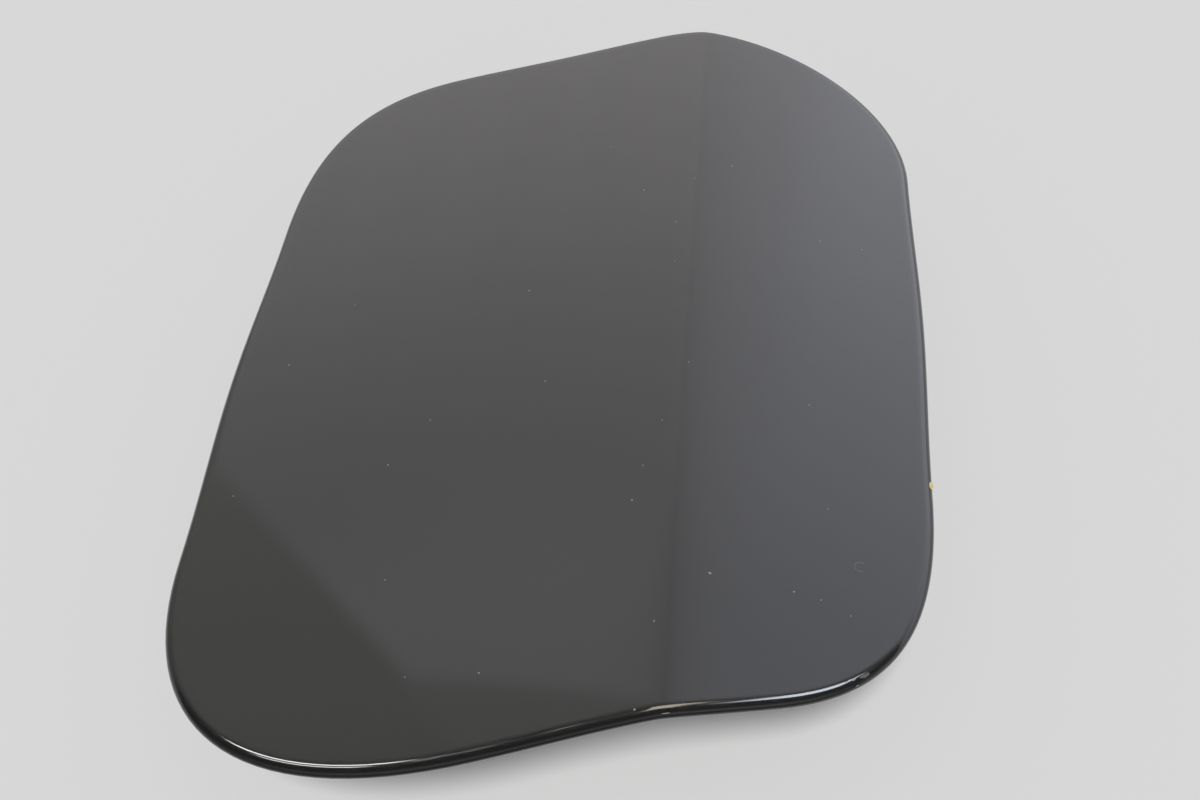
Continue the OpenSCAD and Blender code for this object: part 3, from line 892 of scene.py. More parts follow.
@dataclass(frozen=True)
class DoorForm:
    """Outline, crease and crown of the door, from the crease's middle."""

    left_w: float = 91.5
    right_w: float = 49.0
    length: float = 188.0
    slant: float = 15.0
    near_left: Corner = Corner(55.5, 64.0, 0.62)
    near_right: Corner = Corner(40.5, 29.5, 0.70)
    far_right: Corner = Corner(58.5, 61.0, 0.48)
    far_left: Corner = Corner(45.0, 33.5, 0.70)
    left_bow: float = 1.2
    right_bow: float = 0.9
    near_bow: float = -0.4
    far_bow: float = -0.5
    left_fall: float = 4.6
    right_fall: float = 9.8
    left_crown_r: float = 1300.0
    right_crown_r: float = 2300.0
    length_crown_r: float = 3500.0
    crown_y: float = -20.0
    crease_soft: float = 1.7
    crease_marks: tuple = (-8, -5, -3.4, -2.4, -1.6, -0.8, 0, 0.8, 1.6, 2.4, 3.4, 5, 8)
    arc_steps: int = 32
    edge_step: float = 4.0
    origin: tuple = (10.0, -108.321, 40.0)

    def height(self, x: float, y: float) -> float:
        """Height of the outer face over the crease's highest point.

        Args:
            x: Place across the door.
            y: Place along the crease.

        Returns:
            The height, zero or negative.
        """
        fall, crown = (self.left_fall, self.left_crown_r) if x < 0 else (self.right_fall, self.right_crown_r)
        slope = math.tan(math.radians(fall)) * (math.hypot(x, self.crease_soft) - self.crease_soft)
        return -slope - x * x / (2 * crown) - (y - self.crown_y) ** 2 / (2 * self.length_crown_r)

    def handles(self, end: int, side: int) -> tuple[Vector, ...]:
        """Start on the side edge, two handles and stop on the end edge of one corner.

        Args:
            end: 1 at the far end and -1 at the near end.
            side: 1 on the right and -1 on the left.

        Returns:
            The four points of the corner's curve.
        """
        shapes = (self.near_left, self.near_right, self.far_right, self.far_left)
        shape = shapes[CORNERS.index((end, side))]
        x = self.right_w if side > 0 else -self.left_w
        slant = math.radians(self.slant)
        tip = Vector((x, end * self.length / 2 + math.tan(slant) * x))
        start = tip - Vector((0, end * shape.reach_side))
        stop = tip - side * shape.reach_end * Vector((math.cos(slant), math.sin(slant)))
        return start, start.lerp(tip, shape.fullness), stop.lerp(tip, shape.fullness), stop

    def corner(self, end: int, side: int) -> list[Vector]:
        """The points of one corner, anticlockwise.

        Args:
            end: 1 at the far end and -1 at the near end.
            side: 1 on the right and -1 on the left.

        Returns:
            The points, in order.
        """
        handles = self.handles(end, side)
        points = [on_curve(handles, i / self.arc_steps) for i in range(self.arc_steps + 1)]
        return points if end * side > 0 else points[::-1]

    def inside_corner(self, end: int, side: int, inward: float) -> Vector:
        """A point some way in from the middle of a corner's curve.

        Args:
            end: 1 at the far end and -1 at the near end.
            side: 1 on the right and -1 on the left.
            inward: Distance from the curve.

        Returns:
            The point.
        """
        handles = self.handles(end, side)
        bend = on_curve(handles, 0.5)
        return bend + inward * ((handles[0] + handles[3]) / 2 - bend).normalized()

    def bowed(self, start: Vector, stop: Vector, bow: tuple[float, float]) -> list[Vector]:
        """A nearly straight stretch between two corners.

        Args:
            start: End of the corner before it.
            stop: Start of the corner after it.
            bow: How far its middle stands out, as x and y.

        Returns:
            The points between the two ends.
        """
        steps = max(2, round((stop - start).length / self.edge_step))
        return [start.lerp(stop, i / steps) + Vector(bow) * math.sin(math.pi * i / steps) ** 2
                for i in range(1, steps)]

    def outline(self) -> list[EdgePoint]:
        """The outline, anticlockwise from above, with points where the crease's rounding crosses it.

        Returns:
            The points with their outward directions.
        """
        corners = [self.corner(end, side) for end, side in CORNERS]
        bows = [(0, -self.near_bow), (self.right_bow, 0), (0, self.far_bow), (-self.left_bow, 0)]
        plain: list[Vector] = []
        for index, bow in enumerate(bows):
            arc, following = corners[index], corners[(index + 1) % len(corners)]
            plain += arc + self.bowed(arc[-1], following[0], bow)
        marked = [EdgePoint(p, self.outward(plain[i - 1], p, plain[(i + 1) % len(plain)]))
                  for i, p in enumerate(plain)]
        points = []
        for index, point in enumerate(marked):
            points += [point, *self.crossings(point, marked[(index + 1) % len(marked)])]
        return points

    def nearest(self, x: float, y: float) -> EdgePoint:
        """The outline's point nearest to a place."""
        return min(self.outline(), key=lambda point: (point.place - Vector((x, y))).length)

    def crossings(self, start: EdgePoint, stop: EdgePoint) -> list[EdgePoint]:
        """Where a stretch of the outline crosses the lines of the crease's rounding.

        Args:
            start: First point.
            stop: Second point.

        Returns:
            The crossing points, in order.
        """
        run = stop.place.x - start.place.x
        marks = sorted(self.crease_marks, reverse=run < 0)
        shares = [(x - start.place.x) / run for x in marks if abs(run) > 0.1]
        return [EdgePoint(start.place.lerp(stop.place, share),
                          start.outward.lerp(stop.outward, share).normalized())
                for share in shares if 0.05 < share < 0.95]

    @staticmethod
    def outward(before: Vector, place: Vector, after: Vector) -> Vector:
        """Outward direction at a point of the outline.

        Args:
            before: The point before it.
            place: The point.
            after: The point after it.

        Returns:
            The unit vector.
        """
        first, second = place - before, after - place
        along = first * second.length / first.length + second * first.length / second.length
        return Vector((along.y, -along.x)).normalized()


class Ring:
    """A closed ring of edges that is extruded again and again, each vertex knowing its outline point."""

    def __init__(self, mesh_work: bmesh.types.BMesh, points: Iterable[EdgePoint], form: DoorForm) -> None:
        """Starts with the outline itself.

        Args:
            mesh_work: The mesh to work in.
            points: The outline's points in order.
            form: The door's form.
        """
        self.mesh = mesh_work
        self.form = form
        layers = mesh_work.verts.layers.float_vector
        self.place = layers.get("place") or layers.new("place")
        self.outward = layers.get("outward") or layers.new("outward")
        self.verts = []
        for point in points:
            vert = mesh_work.verts.new(point.place.to_3d())
            vert[self.place] = point.place.to_3d()
            vert[self.outward] = point.outward.to_3d()
            self.verts.append(vert)
        self.edges = [mesh_work.edges.new(pair) for pair in zip(self.verts, self.verts[1:] + self.verts[:1])]

    @classmethod
    def hole(cls, mesh_work: bmesh.types.BMesh, form: DoorForm, middle: Vector, radius: float,
             half_length: float = 0.0, steps: int = 40) -> "Ring":
        """A round or slotted ring on the flat floor, whose outline point is on its middle line.

        Args:
            mesh_work: The mesh to work in.
            form: The door's form.
            middle: The ring's middle.
            radius: Its radius.
            half_length: Half of the straight stretch, along the door.
            steps: Number of points.

        Returns:
            The ring.
        """
        turns = [math.tau * (index + 0.5) / steps for index in range(steps)]
        ways = [Vector((math.cos(turn), math.sin(turn), 0)) for turn in turns]
        points = [EdgePoint(middle + Vector((0, math.copysign(half_length, way.y), 0)), way) for way in ways]
        ring = cls(mesh_work, points, form)
        return ring.round(radius, 0)

    def round(self, radius: float, rise: float) -> "Ring":
        """Puts the ring at a distance from its middle line."""
        return self.put(lambda place, outward: place + outward * radius + Vector((0, 0, rise)))

    def put(self, rule: Callable[[Vector, Vector], Vector]) -> "Ring":
        """Moves the ring's vertices.

        Args:
            rule: Gives a vertex's new place from its outline point and outward direction.

        Returns:
            The ring itself.
        """
        for vert in self.verts:
            vert.co = rule(vert[self.place], vert[self.outward])
        return self

    def under_face(self, inward: float, drop: float) -> Callable[[Vector, Vector], Vector]:
        """Rule for a place inward from the outline and under the outer face.

        Args:
            inward: Distance in from the outline.
            drop: Distance below the face.

        Returns:
            The rule.
        """
        def rule(place: Vector, outward: Vector) -> Vector:
            """A place under the face."""
            spot = place - outward * inward
            return Vector((spot.x, spot.y, self.form.height(spot.x, spot.y) - drop))

        return rule

    @staticmethod
    def level_at(inward: float, level: float) -> Callable[[Vector, Vector], Vector]:
        """Rule for a place inward from the outline at one level."""
        return lambda place, outward: Vector((*(place - outward * inward).xy, level))

    def inset(self, inward: float, drop: float) -> "Ring":
        """Puts the ring inward from the outline and under the outer face."""
        return self.put(self.under_face(inward, drop))

    def flat(self, inward: float, level: float) -> "Ring":
        """Puts the ring inward from the outline at one level."""
        return self.put(self.level_at(inward, level))

    def bend(self, rules: Sequence[Callable[[Vector, Vector], Vector]], reach: float, steps: int = 5) -> "Ring":
        """Extrudes the ring round a bend between two sides that meet at a corner.

        Args:
            rules: Rules for a place on the first side, the corner and a place on the second side.
            reach: How far the bend reaches along its sides.
            steps: Number of stretches in the bend.

        Returns:
            The ring itself.
        """
        for step in range(steps + 1):
            share = step / steps

            def rule(place: Vector, outward: Vector, share: float = share) -> Vector:
                """A place on the bend."""
                first, corner, second = (one(place, outward) for one in rules)
                start = corner + (first - corner).normalized() * reach
                stop = corner + (second - corner).normalized() * reach
                return on_bend(start, corner, stop, share)

            self.extrude().put(rule)
        return self

    def share(self, share: float, inward: float) -> "Ring":
        """Shrinks the ring towards the middle of the face.

        Args:
            share: Share of the way out from the middle.
            inward: Distance in from the outline before shrinking.

        Returns:
            The ring itself.
        """
        def rule(place: Vector, outward: Vector) -> Vector:
            """A place on the face."""
            spot = (place - outward * inward) * share
            return Vector((spot.x, spot.y, self.form.height(spot.x, spot.y)))

        return self.put(rule)

    def extrude(self) -> "Ring":
        """Extrudes the ring and takes up the new one."""
        self.verts, self.edges = extruded(self.mesh, self.edges)
        return self


@dataclass
class Skin:
    """The outer skin with its closed hem."""

    form: DoorForm
    sheet: float = 0.8
    nose: float = 1.8
    hem: float = 2.9
    hem_inner: float = 10.8
    nose_steps: int = 14
    roll: float = 0.8
    roll_slope: float = 4.0
    roll_steps: int = 4
    face_step: float = 0.028
    finish: Finish = PAINT

    def mesh(self) -> bmesh.types.BMesh:
        """The skin as one folded sheet.

        Returns:
            The closed mesh.
        """
        work = bmesh.new()
        half = self.hem / 2
        slope = math.tan(math.radians(self.roll_slope))
        first = math.atan(slope * self.nose / half)
        start, sunk = self.nose * (1 - math.sin(first)), half * (1 - math.cos(first))
        rolled = slope * self.roll / 2
        fit = (self.hem - rolled) / (self.hem - sunk)
        ring = Ring(work, self.form.outline(), self.form).inset(start + self.roll, 0)
        rim_verts, rim_edges = ring.verts, ring.edges
        steps = round(1 / self.face_step)
        for step in range(1, steps):
            ring.extrude().share(1 - step * self.face_step, start + self.roll)
        middle = bmesh.ops.contextual_create(work, geom=ring.edges)["faces"]
        bmesh.ops.poke(work, faces=middle)
        ring.verts, ring.edges = rim_verts, rim_edges
        for step in range(1, self.roll_steps + 1):
            share = step / self.roll_steps
            ring.extrude().inset(start + self.roll * (1 - share), rolled * share ** 2)
        for step in range(1, self.nose_steps + 1):
            angle = first + (math.pi - first) * step / self.nose_steps
            drop = rolled + (half * (1 - math.cos(angle)) - sunk) * fit
            ring.extrude().inset(self.nose * (1 - math.sin(angle)), drop)
        for share in (0.3, 0.7, 1.0):
            ring.extrude().inset(self.nose + (self.hem_inner - self.nose) * share, self.hem)
        bmesh.ops.recalc_face_normals(work, faces=work.faces)
        bmesh.ops.solidify(work, geom=work.faces[:], thickness=self.sheet)
        bmesh.ops.translate(work, vec=self.form.origin, verts=work.verts)
        return work

    def build(self) -> None:
        """Makes the piece."""
        make_piece(self.mesh(), "door_skin", self.finish, Body.DOOR, ["outer_skin"], 50)


# Pieces under the skin


@dataclass(frozen=True)
class Layout:
    """Places and sizes that several pieces share."""

    form: DoorForm = DoorForm()
    floor_t: float = 0.8
    floor_drop: float = 14.5
    pivot_h: float = 10.0
    seat: float = 0.02
    run: float = 0.05
    buffer_in: float = 30.0
    arm_screws: tuple = ((-16.0, 28.321), (-4.0, 28.321), (-10.0, 48.321))
    striker: tuple = (-20.0, -72.359)
    rivets: tuple = ((-28.0, -61.359), (-12.0, -61.359))
    holder: tuple = (-25.0, -14.0)
    holder_screws: tuple = ((-38.0, -14.0), (-12.0, -14.0))

    @property
    def floor_z(self) -> float:
        """Level of the floor's underside over the mounting face."""
        return self.form.origin[2] - self.floor_drop - self.floor_t

    def on_floor(self, spot: Point) -> Vector:
        """A place on the floor's underside in the row frame."""
        return Vector((spot[0] + self.form.origin[0], spot[1] + self.form.origin[1], self.floor_z))

    def buffers(self) -> list[Vector]:
        """Places of the four buffers on the door."""
        return [self.form.inside_corner(end, side, self.buffer_in) for end, side in CORNERS]

    def spread(self, shape: Shape, spots: Iterable[Point]) -> Shape:
        """Copies of a shape at places of the door, standing on the floor's underside."""
        return shape.at([self.on_floor(spot) for spot in spots])


@dataclass
class InnerPanel:
    """Pressed inner panel: flange inside the hem, sloping wall and floor with lipped holes and beads."""

    layout: Layout
    sheet: float = 0.8
    edge: float = 1.4
    flange_top: float = 1.05
    flange_mid: float = 8.0
    flange_in: float = 14.5
    floor_in: float = 19.6
    floor_lead: float = 5.0
    upper_bend: float = 1.6
    lower_bend: float = 1.3
    light_holes: tuple = ((-57, -34), (-57, 6), (13, -20), (13, 16))
    light_r: float = 9.0
    lip_bend: float = 1.2
    lip_h: float = 2.2
    beads: tuple = ((-38, 12, 50), (-42, -58, -38))
    bead_r: float = 5.0
    bead_h: float = 2.4
    bead_crest: float = 1.2
    bead_steps: int = 8
    buffer_hole: float = 3.05
    screw_hole: float = 2.8
    rivet_hole: float = 2.25
    holder_hole: float = 2.05

    def hole(self, work: bmesh.types.BMesh, spot: Sequence[float], radius: float,
             half_length: float = 0.0) -> Ring:
        """A round or slotted ring on the floor."""
        middle = Vector((spot[0], spot[1], -self.layout.floor_drop))
        return Ring.hole(work, self.layout.form, middle, radius, half_length)

    def mesh(self) -> bmesh.types.BMesh:
        """The panel as one pressed sheet.

        Returns:
            The closed mesh.
        """
        form, drop = self.layout.form, -self.layout.floor_drop
        work = bmesh.new()
        rim = Ring(work, form.outline(), form).inset(self.edge, self.flange_top)
        rim.extrude().inset(self.flange_mid, self.flange_top)
        flange = rim.under_face(self.flange_mid, self.flange_top)
        upper = rim.under_face(self.flange_in, self.flange_top)
        lower, inner = rim.level_at(self.floor_in, drop), rim.level_at(self.floor_in + self.floor_lead, drop)
        rim.bend((flange, upper, lower), self.upper_bend).bend((upper, lower, inner), self.lower_bend)
        edges = list(rim.edges)
        lips = [self.hole(work, spot, self.light_r + self.lip_bend) for spot in self.light_holes]
        beads = [self.hole(work, (x, (y0 + y1) / 2), self.bead_r, (y1 - y0) / 2) for x, y0, y1 in self.beads]
        seats = ((self.layout.buffers(), self.buffer_hole), (self.layout.arm_screws, self.screw_hole),
                 (self.layout.rivets, self.rivet_hole), (self.layout.holder_screws, self.holder_hole))
        plain = [self.hole(work, spot, radius) for spots, radius in seats for spot in spots]
        for ring in lips + beads + plain:
            edges += ring.edges
        bmesh.ops.triangle_fill(work, edges=edges, use_beauty=True)
        inside = self.lip_bend - self.sheet
        for ring in lips:
            for angle in (30, 60, 90):
                turn = math.radians(angle)
                ring.extrude().round(self.light_r + self.lip_bend - inside * math.sin(turn),
                                     inside * (1 - math.cos(turn)))
            ring.extrude().round(self.light_r + self.sheet, self.lip_h - self.sheet)
        for ring in beads:
            for step in range(1, self.bead_steps + 1):
                share = step / self.bead_steps
                ring.extrude().round(self.bead_r - (self.bead_r - self.bead_crest) * share,
                                     self.bead_h * (1 - math.cos(math.pi * share)) / 2)
            bmesh.ops.contextual_create(work, geom=ring.edges)
        bmesh.ops.recalc_face_normals(work, faces=work.faces)
        if sum(face.normal.z * face.calc_area() for face in work.faces) < 0:
            bmesh.ops.reverse_faces(work, faces=work.faces)
        bmesh.ops.solidify(work, geom=work.faces[:], thickness=self.sheet)
        bmesh.ops.translate(work, vec=form.origin, verts=work.verts)
        return work

    def build(self) -> None:
        """Makes the piece."""
        make_piece(self.mesh(), "pressed_inner_panel", INSIDE, Body.DOOR, ["inner_panel"], 35)


@dataclass
class SealerBead:
    """Brushed bead of sealer along the edge of the hem's return."""

    layout: Layout
    start: float = 10.85
    section: tuple = ((0, 1.9), (0, 2.86), (0.45, 2.88), (1.2, 2.7), (2.0, 2.34), (2.7, 2.0), (3.0, 1.9))
    wave: float = 0.16
    waves: tuple = (0.083, 0.029)
    wave_rate: float = 7.0
    wave_slant: float = 1.7

    def build(self) -> None:
        """Makes the bead, uneven as brushed."""
        form = self.layout.form
        work = bmesh.new()
        ring = Ring(work, form.outline(), form).inset(self.start, self.section[0][1])
        first = ring.edges
        for across, drop in self.section[1:]:
            def rule(place: Vector, outward: Vector, across: float = across, drop: float = drop) -> Vector:
                """A place on the bead, a little further in or out along the door."""
                way = place.x - self.wave_slant * place.y
                uneven = self.wave * sum(math.sin(way * wave * self.wave_rate) for wave in self.waves) / 2
                wide = across * (1 + uneven) if across < self.section[-1][0] else across
                spot = place - outward * (self.start + wide)
                return Vector((spot.x, spot.y, form.height(spot.x, spot.y) - drop))

            ring.extrude().put(rule)
        bmesh.ops.bridge_loops(work, edges=first + ring.edges)
        bmesh.ops.translate(work, vec=form.origin, verts=work.verts)
        make_piece(work, "sealer_bead", SEALER, Body.DOOR, ["seam_sealer"], 50)


@dataclass
class Buffers:
    """Four pushed-in rubber buffers."""

    layout: Layout
    height: float = 7.0
    radius: float = 7.0
    stem: float = 3.0
    dimple_r: float = 2.6
    dimple: float = 0.7

    def build(self) -> None:
        """Makes the buffers."""
        low, top, seat, r = -self.height, self.layout.floor_t, self.layout.seat, self.radius
        head = rounded([(self.dimple_r - 0.6, low + self.dimple), (self.dimple_r, low), (r - 1.2, low),
                        (r, low + 1.8), (r, -2.0), (r - 0.5, -1.6), (r - 0.5, -1.2), (r, -0.8), (r, -seat)],
                       0.5, closed=False)
        neck = [(self.stem, -seat), (self.stem, top + seat), (self.stem + 0.9, top + seat)]
        tip = rounded([(self.stem + 1, top + 0.1), (self.stem + 1, top + 1), (self.stem - 1, top + 3.5),
                       (0, top + 3.5)], 0.5, closed=False)
        shape = Shape.lathe([(0, low + self.dimple), *head, *neck, *tip])
        shape = self.layout.spread(shape, self.layout.buffers())
        make_piece(shape.mesh, "rubber_buffers", RUBBER, Body.DOOR, ["bump_stops"], 38)


@dataclass
class Striker:
    """Folded striker with its latch window, the nylon sleeve on its tip and two rivets."""

    layout: Layout
    tongue_w: float = 16.0
    plate_w: float = 28.0
    plate_l: float = 20.0
    sheet: float = 2.0
    bend_r: float = 2.2
    corner_r: float = 2.0
    window: tuple = (8.0, 9.0)
    sleeve_h: float = 7.0
    sleeve_wall: float = 1.2
    rivet_r: float = 2.2

    @property
    def tongue_l(self) -> float:
        """Reach of the tongue under the floor."""
        return self.layout.floor_z - self.sleeve_wall - self.layout.seat

    def plate(self) -> Shape:
        """The folded striker, with the fold at its origin."""
        half, neck = self.sheet / 2, self.bend_r + self.sheet / 2
        bend_l = self.bend_r * math.pi / 2
        straight = self.tongue_l - self.bend_r - half
        tip = neck + bend_l + straight
        wide, narrow = self.plate_w / 2, self.tongue_w / 2
        side = [(wide, neck - self.plate_l), (wide, -1.5), (narrow + 1, -0.5), (narrow, 1.5), (narrow, tip - neck)]
        outline = side + [(-x, y) for x, y in reversed(side)]
        fold_x, fold_y = self.layout.striker
        window_y = bend_l + (self.tongue_l / 2 - self.bend_r - half)
        holes = [circle(self.rivet_r + self.layout.run, (x - fold_x, -(y - fold_y) + neck), 32)
                 for x, y in self.layout.rivets]
        holes.append(oblong(self.window[0], self.window[1], 1.0, (0, window_y)))
        shape = Shape.plate(rounded(outline, self.corner_r), self.sheet, -self.sheet, holes)
        shape.fold(0, self.bend_r, 90, -half)
        shape.bevel(0.22, angle=60)
        return shape.turn(180, "Z").move((0, neck, -self.layout.seat))

    def sleeve(self) -> Shape:
        """The sleeve that caps the tongue."""
        run, wall = self.layout.run, self.sleeve_wall
        outer = oblong(self.tongue_w + 2 * (wall + run), self.sheet + 2 * (wall + run), 1.2)
        inner = Shape.box((self.tongue_w + 2 * run, self.sheet + 2 * run, self.sleeve_h),
                          (0, 0, self.sleeve_h / 2 + wall))
        shape = Shape.plate(outer, self.sleeve_h).bevel(0.35, 3).combine(inner, Join.CUT)
        return shape.move((0, self.sheet / 2, -self.layout.floor_z))

    def rivet(self) -> Shape:
        """One rivet with a domed head below and a rolled collar above."""
        grip, r, top, seat = self.sheet + self.layout.seat, self.rivet_r, self.layout.floor_t, self.layout.seat
        head = [(0, -grip - 1.6), (0.6 * r, -grip - 1.55), (1.1 * r, -grip - 1.4), (1.6 * r, -grip - 1.0),
                (1.86 * r, -grip - 0.5), (1.9 * r, -grip - 0.15), (1.88 * r, -grip - seat)]
        stem = [(r, -grip - seat), (r, top + seat)]
        collar = [(1.6 * r, top + seat), (1.68 * r, top + 0.3), (1.5 * r, top + 0.9), (1.2 * r, top + 1.2),
                  (0.7 * r, top + 1.1), (0.4 * r, top + 0.7), (0, top + 0.6)]
        return Shape.lathe(head + stem + collar, 40)

    def build(self) -> None:
        """Makes the pieces."""
        place = self.layout.on_floor(self.layout.striker)
        make_piece(self.plate().move(place).mesh, "folded_striker", ZINC, Body.DOOR, ["striker"], 35)
        make_piece(self.sleeve().move(place).mesh, "tongue_sleeve", NYLON, Body.DOOR, ["striker_sleeve"], 35)
        rivets = self.layout.spread(self.rivet(), self.layout.rivets)
        make_piece(rivets.mesh, "plate_rivets", ZINC, Body.DOOR, ["striker_rivets"], 35)


@dataclass
class CapHolder:
    """Moulded holder for the cap's neck, with its two screws."""

    layout: Layout
    width: float = 38.0
    length: float = 28.0
    drop: float = 16.0
    wall: float = 2.4
    slot_w: float = 17.0
    rib_l: float = 4.0
    screw_r: float = 2.0
    head_r: float = 3.8
    screw_l: float = 7.0
    recess: tuple = (3.6, 0.9, 1.1)

    def fork(self) -> Shape:
        """The fork that takes the cap's neck."""
        half, radius, gap = self.length / 2, self.slot_w / 2, self.slot_w / 2 - 0.8
        start = math.asin(gap / radius)
        arc = [(radius * math.sin(a), -radius * math.cos(a))
               for a in (start + (math.tau - 2 * start) * i / 36 for i in range(37))]
        side, mouth = self.width / 2, -radius * math.cos(start) - 1
        outer = rounded([(gap, mouth), (gap, -half), (side, -half), (side, half), (-side, half), (-side, -half),
                         (-gap, -half), (-gap, mouth)], 4, closed=False, steps=6)
        return Shape.plate([*outer, *reversed(arc)], self.wall, -self.drop - self.wall)

    def rib(self) -> Shape:
        """The right one of the two ribs."""
        back, wall, drop = self.length / 2 - 1, self.wall, self.drop
        front = back - self.rib_l
        points = [(back, -wall / 2), (back, -drop - wall / 2), (front - 2, -drop - wall / 2), (front, -drop + 3),
                  (front, -wall - 3), (front - 4, -wall / 2)]
        return Shape.plate(points, wall).stand_across().move((self.width / 2 - 2 - wall, 0, 0))

    def moulding(self) -> Shape:
        """The holder as one moulding."""
        seat, wall = self.layout.seat, self.wall
        middle_x, middle_y = self.layout.holder
        holes = [circle(self.screw_r + self.layout.run, (x - middle_x, y - middle_y), 32)
                 for x, y in self.layout.holder_screws]
        shape = Shape.plate(oblong(self.width, self.length, 4), wall, -wall - seat, holes)
        height = self.drop + wall - seat
        middle = (0, self.length / 2 - wall / 2 - 0.01, -height / 2 - seat)
        back = Shape.box((self.width - 4, wall, height), middle)
        for part in (back, self.fork(), self.rib(), self.rib().mirrored()):
            shape.combine(part, Join.UNION)
        return shape.bevel(0.3)

    def screw(self) -> Shape:
        """One pan-head screw with a cross recess."""
        wall, head, seated = self.wall, self.head_r, -self.wall - 2 * self.layout.seat
        section = [(0, -wall - 2), (head * 0.55, -wall - 1.95), (head - 0.7, -wall - 1.7),
                   (head - 0.15, -wall - 1.1), (head, -wall - 0.5), (head, seated), (self.screw_r, seated),
                   (self.screw_r, self.screw_l - 2), (0, self.screw_l)]
        shape = Shape.lathe(section, 40)
        length, width, depth = self.recess
        for size in ((length, width, 2 * depth), (width, length, 2 * depth)):
            shape.combine(Shape.box(size, (0, 0, -wall - 2)), Join.CUT)
        return shape

    def build(self) -> None:
        """Makes the pieces."""
        place = self.layout.on_floor(self.layout.holder)
        moulding = self.moulding().move(place)
        make_piece(moulding.mesh, "moulded_cap_holder", PLASTIC, Body.DOOR, ["cap_holder"], 35)
        screws = self.layout.spread(self.screw(), self.layout.holder_screws)
        make_piece(screws.mesh, "holder_screws", ZINC, Body.DOOR, ["cap_holder_screws"], 35)


